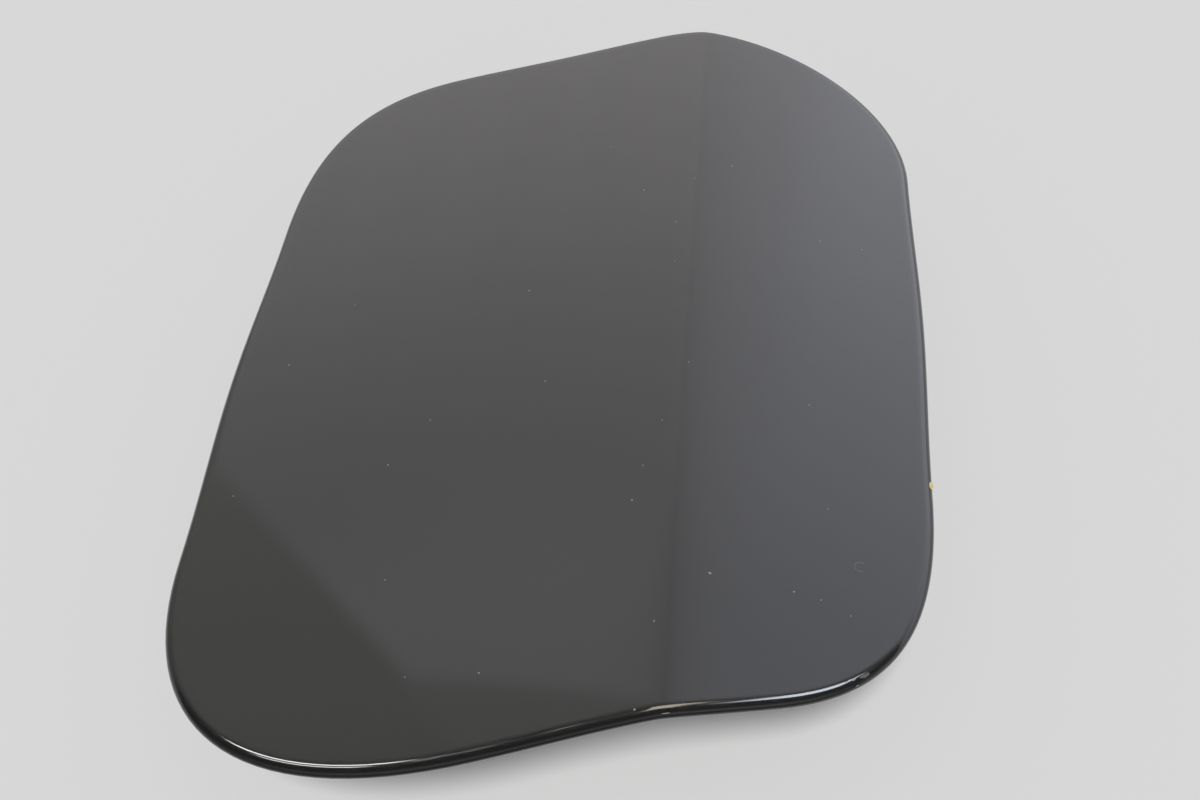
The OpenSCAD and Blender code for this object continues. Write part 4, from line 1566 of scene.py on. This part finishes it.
@dataclass
class PaintDamage:
    """Dust specks, a small chip on the right edge, a scrape at the near right corner and a curved scratch."""

    layout: Layout
    specks: tuple = (
        (-32.4, 2.5, 0.13), (-26.2, -22.5, 0.12), (-54.4, -42.5, 0.13), (-84.1, -48.8, 0.12), (-80.6, -15.7, 0.11),
        (-69.8, 0.6, 0.07), (0.6, 36.5, 0.07), (-2.4, 10.2, 0.08), (-2.8, 22.2, 0.08), (-10.4, 32.8, 0.10),
        (-19.0, 48.0, 0.07), (8.7, 42.4, 0.10), (28.2, 22.8, 0.12), (37.3, 22.3, 0.13), (35.4, 47.8, 0.07),
        (1.8, -17.7, 0.11), (-2.6, -32.6, 0.09), (25.5, -23.8, 0.10), (-5.5, -43.3, 0.09), (-7.0, -51.2, 0.19),
        (7.7, -65.4, 0.24), (22.5, -66.6, 0.17), (27.3, -67.4, 0.10), (32.5, -69.7, 0.12), (28.8, -47.8, 0.08),
        (-50.2, -68.2, 0.10), (-1.4, -76.2, 0.13), (-30.4, -86.6, 0.14), (-43.1, -87.5, 0.10), (-47.9, -31.7, 0.08),
    )
    speck_h: float = 0.25
    speck_turn: float = 53.0
    stroke_h: float = 0.04
    edge_h: float = 0.06
    scrape_h: float = 0.03
    scratch_h: float = 0.02
    scratch_steps: int = 12
    proud: float = 0.04
    strokes: tuple = ((32.7, -82.0, 0.42, 0.14, 42), (31.5, -82.5, 0.3, 0.07, 25), (-3.6, -92.75, 0.19, 0.17, 0))
    edge_strokes: tuple = ((1.7, -92.5, 0.75, 0.11, 0.25), (33.2, -83.0, 0.3, 0.2, 0.6))
    scrape: tuple = ((34.5, -80.95, 0.55, 0.42, 28), (35.1, -80.5, 0.4, 0.3, 60), (34.0, -81.35, 0.35, 0.2, 20))
    scratch: tuple = (34.4, -59.3, 0.95, 0.022, 60, 290)
    chip: tuple = (0.38, 0.85, 0.06)
    chip_in: float = 0.35
    chip_turn: float = 4.0
    chip_drop: float = 0.3
    roll: float = 0.8
    chip_y: float = -38.3

    def blob(self, x: float, y: float, size: Sequence[float], degrees: float) -> Shape:
        """A flattened blob that lies on the outer face.

        Args:
            x: Place across the door.
            y: Place along the door.
            size: Its half sizes.
            degrees: Its turn about the upright.

        Returns:
            The blob in the row frame.
        """
        form = self.layout.form
        shape = Shape()
        bmesh.ops.create_icosphere(shape.mesh, subdivisions=2, radius=1)
        bmesh.ops.scale(shape.mesh, vec=size, verts=shape.mesh.verts)
        shape.turn(degrees, "Z")
        tilt = math.degrees(math.atan(form.height(x + 0.5, y) - form.height(x - 0.5, y)))
        return shape.turn(-tilt, "Y").move((x, y, form.height(x, y))).move(form.origin)

    def dust(self) -> Shape:
        """All specks."""
        shape = Shape()
        for index, (x, y, radius) in enumerate(self.specks):
            flat = (radius * 1.25, radius * 0.8, radius * self.speck_h)
            shape.add(self.blob(x, y, flat, index * self.speck_turn))
        return shape

    def rubbed(self) -> Shape:
        """The pale strokes and the curved scratch."""
        shape = Shape()
        for x, y, length, width, degrees in self.strokes:
            shape.add(self.blob(x, y, (length, width, self.stroke_h), degrees))
        for x, y, length, width, drop in self.edge_strokes:
            near = self.layout.form.nearest(x, y)
            along = math.degrees(math.atan2(near.outward.y, near.outward.x)) + 90
            place = near.place - near.outward * self.edge_in(drop)
            shape.add(self.blob(place.x, place.y, (length, self.edge_h, width), along).move((0, 0, -drop)))
        x, y, radius, width, start, stop = self.scratch
        for index in range(self.scratch_steps):
            angle = math.radians(start + (stop - start) * index / (self.scratch_steps - 1))
            place = (x + radius * math.cos(angle), y + radius * math.sin(angle))
            shape.add(self.blob(*place, (radius * 0.2, width, self.scratch_h), math.degrees(angle) + 90))
        return shape

    def scraped(self) -> Shape:
        """The scraped patch at the near right corner."""
        shape = Shape()
        for x, y, length, width, degrees in self.scrape:
            shape.add(self.blob(x, y, (length, width, self.scrape_h), degrees))
        return shape

    def edge_in(self, drop: float) -> float:
        """How far in from the nose the roll lies at a depth under the face."""
        rise = max(self.roll - drop, 0.0)
        return self.roll - math.sqrt(self.roll ** 2 - rise ** 2) + self.proud

    def edge_chip(self) -> Shape:
        """The chip on the nose of the right edge."""
        near = self.layout.form.nearest(self.layout.form.right_w, self.chip_y)
        shape = self.blob(near.place.x - self.chip_in, self.chip_y, self.chip, self.chip_turn)
        return shape.move((0, 0, -self.chip_drop))

    def build(self) -> None:
        """Makes the pieces."""
        make_piece(self.dust().mesh, "dust_specks", DUST, Body.DOOR)
        make_piece(self.rubbed().mesh, "rubbed_marks", DUST, Body.DOOR)
        make_piece(self.scraped().mesh, "corner_scrape", SCRAPED, Body.DOOR)
        make_piece(self.edge_chip().mesh, "edge_chip", GROUND, Body.DOOR)


# The hinge


@dataclass
class HingeArm:
    """Gooseneck arm with its cheeks, bushes, screws and weld nuts."""

    layout: Layout
    width: float = 22.0
    sheet: float = 1.6
    pad_l: float = 38.0
    neck_l: float = 49.0
    dip: float = 4.0
    web_z: float = 6.1
    web_bend: float = 4.4
    dip_y: tuple = (-28.0, -18.0, -9.0)
    eye_turn: float = 0.78
    fold_r: float = 1.3
    hole_r: float = 2.8
    web_end: float = 4.0
    eye_r: float = 6.5
    cheek_start: float = 59.0
    pin_r: float = 2.5
    bush_wall: float = 0.95
    bush_flange_r: float = 5.5
    bush_flange_t: float = 1.0
    screw_r: float = 2.5
    head_r: float = 4.0
    head_h: float = 4.0
    flange_r: float = 5.4
    nut_r: float = 4.6
    nut_h: float = 4.0

    @property
    def pad_z(self) -> float:
        """Level of the pad's middle layer over the pin."""
        return self.layout.floor_z - self.layout.pivot_h - self.sheet / 2 - self.layout.seat

    def web_path(self) -> list[Point]:
        """Middle line of the web seen from the side."""
        low = self.web_z - self.dip
        start, stop, rise = self.dip_y
        bends = [(-self.neck_l - self.pad_l, self.pad_z), (-self.neck_l, self.pad_z), (start, low), (stop, low),
                 (rise, self.web_z), (self.web_end, self.web_z)]
        return rounded(bends, self.web_bend, closed=False, steps=8)

    def web(self) -> Shape:
        """The web with its long upper edges rounded as a fold is."""
        path = [Vector(point) for point in self.web_path()]
        last = len(path) - 1
        sides: list[list[Point]] = [[], []]
        for index, place in enumerate(path):
            along = (path[min(index + 1, last)] - path[max(index - 1, 0)]).normalized()
            normal = Vector((-along.y, along.x)) * self.sheet / 2
            sides[0].append(tuple(place + normal))
            sides[1].append(tuple(place - normal))
        shape = Shape.plate(sides[0] + sides[1][::-1], self.width, -self.width / 2).stand_across()
        edge = self.width / 2 - 0.01

        def on_top(line: bmesh.types.BMEdge) -> bool:
            """Whether an edge runs along the web's upper side."""
            ups = [face.normal.z for face in line.link_faces]
            return all(abs(vert.co.x) > edge for vert in line.verts) and max(ups) > 0.5

        return shape.bevel(self.fold_r, 4, 60, on_top)

    def cheek(self) -> Shape:
        """The right cheek with its eye."""
        start, low = self.cheek_start, -self.eye_r
        handles = [Vector(point) for point in ((-start, self.pad_z), (-self.neck_l + 8, self.pad_z),
                                               (-self.neck_l + 8, low), (-10, low))]
        bottom = [tuple(on_curve(handles, i / 16)) for i in range(17)]
        turns = [math.pi * self.eye_turn * i / 16 for i in range(17)]
        eye = [(self.eye_r * math.sin(turn), -self.eye_r * math.cos(turn)) for turn in turns]
        top = [point for point in reversed(self.web_path()) if -start < point[0] < self.web_end - 1]
        hole = circle(self.pin_r + self.layout.run + self.bush_wall + self.layout.run / 2)
        shape = Shape.plate(bottom + eye + top, self.sheet, self.width / 2 - self.sheet, [hole])
        return shape.stand_across()

    def arm(self) -> Shape:
        """The whole arm around the pin's axis."""
        shape = self.web()
        for cheek in (self.cheek(), self.cheek().mirrored()):
            shape.combine(cheek, Join.UNION)
        over_x, over_y, _ = self.layout.form.origin
        for x, y in self.layout.arm_screws:
            hole = circle(self.hole_r, (x + over_x, y + over_y), 40)
            shape.combine(Shape.plate(hole, 4 * self.sheet, self.pad_z - 2 * self.sheet), Join.CUT)
        return shape

    def bush(self) -> Shape:
        """The right bush with its flange."""
        inner, outer = self.pin_r + self.layout.run, self.pin_r + self.layout.run + self.bush_wall
        cheek, face = self.width / 2 - self.sheet, self.width / 2 + self.layout.run
        rim, end = self.bush_flange_r, face + self.bush_flange_t
        section = [(inner + 0.2, cheek), (outer - 0.2, cheek), (outer, cheek + 0.2), (outer, face), (rim, face),
                   (rim, end - 0.25), (rim - 0.25, end), (inner + 0.2, end), (inner, end - 0.2),
                   (inner, cheek + 0.2)]
        return Shape.lathe(section).turn(90, "Y")

    def screw(self) -> Shape:
        """One hexagon flange screw, seated under the arm."""
        grip = self.sheet + self.layout.floor_t + self.nut_h
        section = [(0, -1.6), (self.flange_r - 1.4, -1.5), (self.flange_r - 0.3, -1.0), (self.flange_r, -0.7),
                   (self.flange_r, -0.1), (self.flange_r - 0.1, 0), (self.screw_r, 0)]
        for turn in range(1, int(grip)):
            section += [(self.screw_r, turn - 0.25), (self.screw_r - 0.22, turn), (self.screw_r, turn + 0.25)]
        section += [(self.screw_r, grip + 1), (self.screw_r - 0.6, grip + 1.6), (0, grip + 1.6)]
        head = Shape.plate(circle(self.head_r, steps=6), self.head_h - 1.2, -self.head_h)
        head.bevel(0.3, angle=40, where=lambda edge: min(v.co.z for v in edge.verts) < -self.head_h + 0.01)
        shape = Shape.lathe(section, 40).combine(head, Join.UNION)
        return shape.move((0, 0, -self.sheet - 2 * self.layout.seat))

    def nut(self) -> Shape:
        """One weld nut on top of the floor."""
        bore = circle(self.screw_r + self.layout.run, steps=40)
        shape = Shape.plate(circle(self.nut_r, steps=6), self.nut_h, 0, [bore])
        shape.bevel(0.35, where=lambda edge: min(v.co.z for v in edge.verts) > self.nut_h - 0.01
                    and max(v.co.xy.length for v in edge.verts) > self.nut_r - 0.9)
        base = Shape.plate(circle(self.nut_r + 1), 0.9, 0, [bore]).bevel(0.2, angle=60)
        return shape.combine(base, Join.UNION).move((0, 0, self.layout.floor_t + self.layout.seat))

    def build(self) -> None:
        """Makes the pieces."""
        pivot = (0, 0, self.layout.pivot_h)
        make_piece(self.arm().move(pivot).mesh, "gooseneck_arm", PRIMER, Body.DOOR, ["hinge_arm"], 38)
        bushes = self.bush()
        bushes.add(bushes.mirrored()).move(pivot)
        make_piece(bushes.mesh, "flanged_bushes", NYLON, Body.DOOR, ["pivot_bushes"], 35)
        fixings = ((self.screw(), "flange_screws", "arm_screws"), (self.nut(), "weld_nuts", "arm_weld_nuts"))
        for shape, name, node in fixings:
            spread = self.layout.spread(shape, self.layout.arm_screws)
            make_piece(spread.mesh, name, ZINC, Body.DOOR, [node], 30)


@dataclass
class HingeBase:
    """Bracket with the pin, its clip, the spring and the rubber stop."""

    layout: Layout
    sheet: float = 2.0
    ear_in: float = 12.55
    eye_r: float = 6.5
    foot_front: float = 20.0
    foot_back: float = 10.0
    bolt_spacing: float = 42.0
    bolt_r: float = 3.3
    wing_l: float = 16.0
    wing_end: float = 7.0
    corner_r: float = 2.4
    stop: tuple = (5.914, 5.681)
    stop_w: float = 12.0
    tab_t: float = 1.6
    stop_cap: float = 1.0
    stop_grip: float = 2.2
    pin_r: float = 2.5
    head_r: float = 4.5
    head_l: float = 2.0
    clip_t: float = 0.7
    coil_r: float = 4.1
    wire_r: float = 0.7
    turns: float = 8.5
    coil_steps: int = 40
    upper_leg: float = 7.0
    lower_leg: float = 14.0

    @property
    def ear_out(self) -> float:
        """Outer face of an ear."""
        return self.ear_in + self.sheet

    def ear(self) -> Shape:
        """The right ear."""
        foot = self.sheet / 2 - self.layout.pivot_h
        start = 0.08
        arc = [(self.eye_r * math.cos(a), self.eye_r * math.sin(a))
               for a in (start + (math.pi - 2 * start) * i / 24 for i in range(25))]
        outline = [(self.foot_back - 1, foot), *arc, (-self.foot_front + 6, foot)]
        shape = Shape.plate(outline, self.sheet, self.ear_in, [circle(self.pin_r + self.layout.run / 2)])
        shape.bevel(0.3, where=lambda edge: min(v.co.y for v in edge.verts) > foot + 0.5)
        return shape.stand_across().move((0, 0, self.layout.pivot_h))

    def bracket(self) -> Shape:
        """The bracket: foot with its wings, two ears and the stop tab."""
        half, wing = self.ear_out, self.bolt_spacing / 2 + self.wing_end
        side = self.wing_l / 2
        right = [(half, -self.foot_front), (half, -side), (wing, -side), (wing, side), (half, side),
                 (half, self.foot_back)]
        left = [(-x, y) for x, y in reversed(right)]
        outline = rounded(left[-1:] + right + left[:-1], self.corner_r, steps=6)
        holes = [circle(self.bolt_r, (x * self.bolt_spacing / 2, 0)) for x in (-1, 1)]
        shape = Shape.plate(outline, self.sheet, 0, holes)
        shape.bevel(0.3, where=lambda edge: max(v.co.z for v in edge.verts) > self.sheet - 0.01
                    and max(abs(v.co.x) for v in edge.verts) > half + 0.5)
        y, top = self.stop
        tab = Shape.box((self.stop_w, self.tab_t, top - self.sheet / 2), (0, y, (top + self.sheet / 2) / 2))
        tab.bevel(0.25)
        for part in (self.ear(), self.ear().mirrored(), tab):
            shape.combine(part, Join.UNION)
        return shape

    def buffer(self) -> Shape:
        """The rubber cap on the stop tab."""
        y, top = self.stop
        height = self.stop_grip + self.stop_cap
        shape = Shape.box((self.stop_w + 2, self.tab_t + 1.6, height), (0, y, top - self.stop_grip + height / 2))
        shape.bevel(0.5, 3)
        seat = self.layout.seat
        tab = Shape.box((self.stop_w + 2 * seat, self.tab_t + 2 * seat, top), (0, y, top / 2 + seat))
        return shape.combine(tab, Join.CUT)

    def pin(self) -> Shape:
        """The pin with its head on the right and the clip's groove on the left."""
        r, groove, out = self.pin_r, self.ear_out + 0.2, self.ear_out + self.layout.seat
        end = groove + self.clip_t
        tail = [(0, -end - 2), (r - 0.5, -end - 2), (r, -end - 1.5), (r, -end - 0.1), (r - 0.6, -end - 0.1),
                (r - 0.6, -groove), (r, -groove), (r, out)]
        head = rounded([(self.head_r, out), (self.head_r, out + self.head_l * 0.55),
                        (self.head_r * 0.6, self.ear_out + self.head_l - 0.05)], 1.2, closed=False, steps=6)
        return Shape.lathe([*tail, *head, (0, self.ear_out + self.head_l)]).turn(90, "Y")

    def spring(self) -> Shape:
        """The coil with one leg under the web and one down to the foot."""
        pitch = 2 * self.wire_r + 0.1
        half = self.turns * pitch / 2
        count = round(self.turns * self.coil_steps)
        turns = [math.pi / 2 + math.tau * i / self.coil_steps for i in range(count + 1)]
        coil = [Vector((-half + pitch * i / self.coil_steps, self.coil_r * math.cos(a), self.coil_r * math.sin(a)))
                for i, a in enumerate(turns)]
        drop = self.layout.pivot_h - self.sheet - self.coil_r - self.wire_r - 0.3
        shares = (0.15, 0.4, 0.7, 1)
        start = [Vector((-half, -self.upper_leg * share, self.coil_r)) for share in reversed(shares)]
        stop = [Vector((half, -self.lower_leg * share, -self.coil_r - drop * share)) for share in shares]
        return Shape.tube(start + coil + stop, self.wire_r)

    def build(self) -> None:
        """Makes the pieces."""
        pivot = (0, 0, self.layout.pivot_h)
        make_piece(self.bracket().mesh, "pressed_bracket", ZINC, Body.BASE, ["hinge_bracket"], 38)
        make_piece(self.pin().move(pivot).mesh, "headed_pin", ZINC, Body.BASE, ["hinge_pin"], 38)
        make_piece(self.spring().move(pivot).mesh, "coil_spring", SPRING, Body.BASE, ["torsion_spring"], 50)
        make_piece(self.buffer().mesh, "rubber_stop", RUBBER, Body.BASE, ["stop_buffer"], 38)


# The studio


@dataclass
class Camera:
    """The photograph's viewpoint."""

    focal_px: float = 1414.55
    pitch: float = 50.327
    yaw: float = -7.156
    roll: float = 2.863
    shift_mm: tuple = (17.835, -79.485, 388.841)
    frame_px: int = 1200
    sensor: float = 36.0

    def axes(self) -> tuple[Vector, Vector, Vector]:
        """Right, down and forward in the row frame.

        Returns:
            The three unit vectors.
        """
        pitch, yaw, roll = (math.radians(a) for a in (self.pitch, self.yaw, self.roll))
        forward = Vector((math.sin(yaw) * math.cos(pitch), math.cos(yaw) * math.cos(pitch), -math.sin(pitch)))
        level = Vector((math.cos(yaw), -math.sin(yaw), 0))
        steep = forward.cross(level)
        right = level * math.cos(roll) + steep * math.sin(roll)
        down = steep * math.cos(roll) - level * math.sin(roll)
        return right, down, forward

    def build(self) -> None:
        """Sets the scene's camera."""
        right, down, forward = self.axes()
        place = -(right * self.shift_mm[0] + down * self.shift_mm[1] + forward * self.shift_mm[2]) * MM
        turn = Matrix((right, -down, -forward)).transposed().to_4x4()
        data = bpy.data.cameras.new("camera")
        data.sensor_width = self.sensor
        data.lens = self.focal_px / self.frame_px * self.sensor
        data.clip_start = 0.01
        camera = bpy.data.objects.new("camera", data)
        camera.matrix_world = Matrix.Translation(place) @ turn
        bpy.context.scene.collection.objects.link(camera)
        bpy.context.scene.camera = camera


@dataclass(frozen=True)
class Patch:
    """A stretch of sky, by angle over the zenith from the far horizon and by place across."""

    start: float
    stop: float
    left: float
    right: float
    level: float
    tint: tuple
    soft: float = 1.2
    soft_across: float = 0.03
    broken: bool = False


@dataclass
class Studio:
    """Pale floor, with painted shade on its camera side that only glossy rays see, and the soft surroundings that
    the paint mirrors.
    """

    floor_tone: float = 0.672
    floor_colour: tuple = (0.547, 0.543, 0.537)
    floor_glow: float = 0.155
    floor_half: float = 6.0
    # Painted shade: the range over which glossy rays see the floor darkened on the camera's side, so the hem
    # mirrors a dark floor there
    floor_painted_shade: tuple = (-0.225, -0.27, 0.0, 0.78)
    plain_level: float = 0.20
    plain_tint: tuple = (0.95, 0.98, 1.07)
    far_levels: tuple = (
        (0, 0.67), (12, 0.95), (22, 1.92), (33, 1.86), (40, 1.86), (47, 1.68), (53, 1.54), (58, 1.47), (63, 1.40),
        (66, 1.30), (70, 0.62), (75, 0.16), (112, 0.07), (138, 0.07), (150, 0.3), (165, 0.6), (180, 0.67))
    across: float = 0.43
    crease_across: float = 0.17
    crease_from: tuple = (0.02, 0.17)
    crease_dip: tuple = (0.84, 1.0)
    side_dip: tuple = (0.55, 0.95, 1.0, 0.6)
    left_tint: tuple = (0.93, 0.90, 0.91)
    right_tint: tuple = (0.965, 0.985, 1.07)
    tint_across: tuple = (0.08, 0.36)
    near_lift: tuple = (0.20, -0.09)
    lift_across: tuple = (-0.28, 0.0)
    lift_from: tuple = (51.0, 60.0)
    dark_corner: tuple = (-0.130, -0.162)
    corner_slant: tuple = (-0.0028, 0.99)
    dark_strip: tuple = (65.3, 66.3, 0.0, 0.8)
    strip_slant: float = -8.4
    dark_tint: tuple = (0.70, 0.70, 0.65)
    near_tint: tuple = (1.05, 0.99, 0.94)
    near_from: tuple = (66.0, 74.0)
    broken_scale: float = 26.0
    broken_share: tuple = (0.50, 0.62)
    patches: tuple = (
        Patch(80.5, 86.0, -0.66, -0.36, 24.0, (1.0, 0.99, 0.97)),
        Patch(93.0, 98.0, -0.64, -0.40, 20.0, (1.0, 0.99, 0.98)),
        Patch(84.0, 95.0, -0.34, -0.14, 6.0, (1.0, 0.99, 0.98), 2.0, 0.02, True),
        Patch(80.5, 99.0, -0.02, 0.39, 8.0, (1.0, 0.90, 0.74)),
        Patch(81.0, 98.0, 0.46, 0.70, 14.0, (0.93, 0.98, 1.10)),
    )
    lamp_strength: float = 3.0
    lamp_height: float = 66.4
    lamp_spread: float = 12.5

    def floor(self) -> None:
        """Lays the floor under the hinge's foot, with painted shade on its camera side for glossy rays."""
        work = bmesh.new()
        bmesh.ops.create_grid(work, x_segments=1, y_segments=1, size=self.floor_half)
        mesh = bpy.data.meshes.new("floor")
        work.to_mesh(mesh)
        work.free()
        floor = bpy.data.objects.new("floor", mesh)
        bpy.context.scene.collection.objects.link(floor)
        material = bpy.data.materials.new("floor_pale")
        material.use_nodes = True
        graph = Graph(material.node_tree)
        path = graph.add("ShaderNodeLightPath").outputs
        seen = graph.math("MAXIMUM", path["Is Camera Ray"], path["Is Glossy Ray"])
        place = graph.add("ShaderNodeNewGeometry").outputs["Position"]
        y = graph.add("ShaderNodeSeparateXYZ", Vector=place).outputs["Y"]
        # Painted shade: glossy rays see the floor's colour and glow darker on the camera's side
        dim = graph.math("MULTIPLY", path["Is Glossy Ray"], graph.remap(y, *self.floor_painted_shade))
        share = graph.math("SUBTRACT", 1.0, dim)
        colour = graph.mix(1.0, self.floor_colour, graph.grey(share), "MULTIPLY")
        matt = graph.add("ShaderNodeBsdfDiffuse", Color=colour)
        strength = graph.math("MULTIPLY", share, self.floor_tone * self.floor_glow)
        glow = graph.add("ShaderNodeEmission", Strength=strength)
        both = graph.add("ShaderNodeAddShader")
        for socket, shader in zip(both.inputs, (matt, glow)):
            graph.feed(socket, shader.outputs[0])
        graph.add("ShaderNodeOutputMaterial", Surface=graph.choose(seen, matt, both).outputs[0])
        mesh.materials.append(material)

    def lamp(self) -> None:
        """Hangs a wide soft lamp over the camera's side, which the paint doesn't mirror."""
        data = bpy.data.lights.new("soft_lamp", "SUN")
        data.energy = self.lamp_strength
        data.angle = math.radians(self.lamp_spread)
        lamp = bpy.data.objects.new("soft_lamp", data)
        lamp.rotation_euler = (math.radians(90 - self.lamp_height), 0, 0)
        lamp.visible_glossy = False
        bpy.context.scene.collection.objects.link(lamp)

    def patch(self, graph: Graph, angle: Socket, x: Socket,
              patch: Patch) -> Socket:
        """Share of a patch in each direction.

        Args:
            graph: The world's nodes.
            angle: Angle over the zenith in degrees.
            x: Place across.
            patch: The patch.

        Returns:
            The share, from 0 to 1.
        """
        inside = graph.remap(angle, patch.start - patch.soft, patch.start + patch.soft)
        for value, low, high in ((angle, patch.stop + patch.soft, patch.stop - patch.soft),
                                 (x, patch.left - patch.soft_across, patch.left + patch.soft_across),
                                 (x, patch.right + patch.soft_across, patch.right - patch.soft_across)):
            inside = graph.math("MULTIPLY", inside, graph.remap(value, low, high))
        if patch.broken:
            look = graph.add("ShaderNodeTexCoord").outputs["Generated"]
            grain = graph.add("ShaderNodeTexNoise", Vector=look, Scale=self.broken_scale, Detail=3.0)
            share = graph.remap(grain.outputs["Fac"], *self.broken_share)
            inside = graph.math("MULTIPLY", inside, share)
        return inside

    def sky(self) -> None:
        """Fills the world: a plain level for matt surfaces, and what the paint mirrors."""
        world = bpy.data.worlds.new("studio")
        bpy.context.scene.world = world
        world.use_nodes = True
        graph = Graph(world.node_tree)
        look = graph.add("ShaderNodeTexCoord").outputs["Generated"]
        x, y, z = graph.add("ShaderNodeSeparateXYZ", Vector=look).outputs
        angle = graph.math("MULTIPLY", graph.math("ARCTAN2", z, y), 180 / math.pi)
        top = max(level for place, level in self.far_levels)
        stops = [(place / 180, (level / top,) * 3) for place, level in self.far_levels]
        levels = graph.ramp(graph.math("DIVIDE", angle, 180.0), stops)
        tilt = graph.math("MULTIPLY", graph.math("MULTIPLY_ADD", x, self.across, 1.0), top)
        crease = graph.math("ABSOLUTE", graph.math("SUBTRACT", x, self.crease_across))
        tilt = graph.math("MULTIPLY", tilt, graph.remap(crease, *self.crease_from, *self.crease_dip))
        tilt = graph.math("MULTIPLY", tilt, graph.remap(graph.math("ABSOLUTE", x), *self.side_dip))
        colour = graph.mix(graph.remap(x, *self.tint_across), self.left_tint, self.right_tint)
        right = graph.remap(x, *self.lift_across, *self.near_lift)
        lift = graph.math("MULTIPLY_ADD", graph.remap(angle, *self.lift_from), right, 1.0)
        colour = graph.mix(1.0, colour, graph.grey(lift), "MULTIPLY")
        by_angle, by_depth = self.corner_slant
        slant = graph.math("MULTIPLY_ADD", angle, by_angle, graph.math("MULTIPLY_ADD", y, by_depth, x))
        strip = graph.remap(graph.math("MULTIPLY_ADD", x, self.strip_slant, angle), *self.dark_strip)
        dark = graph.math("MAXIMUM", graph.remap(slant, *self.dark_corner), strip)
        colour = graph.mix(dark, colour, self.dark_tint)
        colour = graph.mix(graph.remap(angle, *self.near_from), colour, self.near_tint)
        colour = graph.mix(1.0, colour, levels, "MULTIPLY")
        colour = graph.mix(1.0, colour, graph.grey(tilt), "MULTIPLY")
        for patch in self.patches:
            lit = tuple(patch.level * share for share in patch.tint)
            colour = graph.mix(self.patch(graph, angle, x, patch), colour, lit)
        path = graph.add("ShaderNodeLightPath").outputs
        matt = graph.add("ShaderNodeBackground", Color=(*self.plain_tint, 1), Strength=self.plain_level)
        mirrored = graph.add("ShaderNodeBackground", Color=colour, Strength=1.0)
        seen = graph.add("ShaderNodeBackground", Color=(1, 1, 1, 1), Strength=self.floor_tone)
        lit = graph.choose(path["Is Glossy Ray"], matt, mirrored)
        graph.add("ShaderNodeOutputWorld", Surface=graph.choose(path["Is Camera Ray"], lit, seen).outputs[0])

    def build(self) -> None:
        """Makes floor, lamp and surroundings."""
        self.floor()
        self.lamp()
        self.sky()
        bpy.context.scene.view_settings.view_transform = "Standard"


CARRIED_OVER = {"pin_clip": SPRING, "thrust_washers": SPRING, "spring_sleeve": NYLON}


def main() -> None:
    """Builds the door, its hinge and the studio."""
    logging.basicConfig(level=logging.INFO, format="%(message)s")
    layout = Layout()
    Skin(layout.form).build()
    for part in (InnerPanel, SealerBead, Buffers, Striker, CapHolder, PaintDamage, HingeArm, HingeBase):
        part(layout).build()
    for name, finish in CARRIED_OVER.items():
        dress_node(name, finish)
    Studio().build()
    Camera().build()


if __name__ == "__main__":
    main()
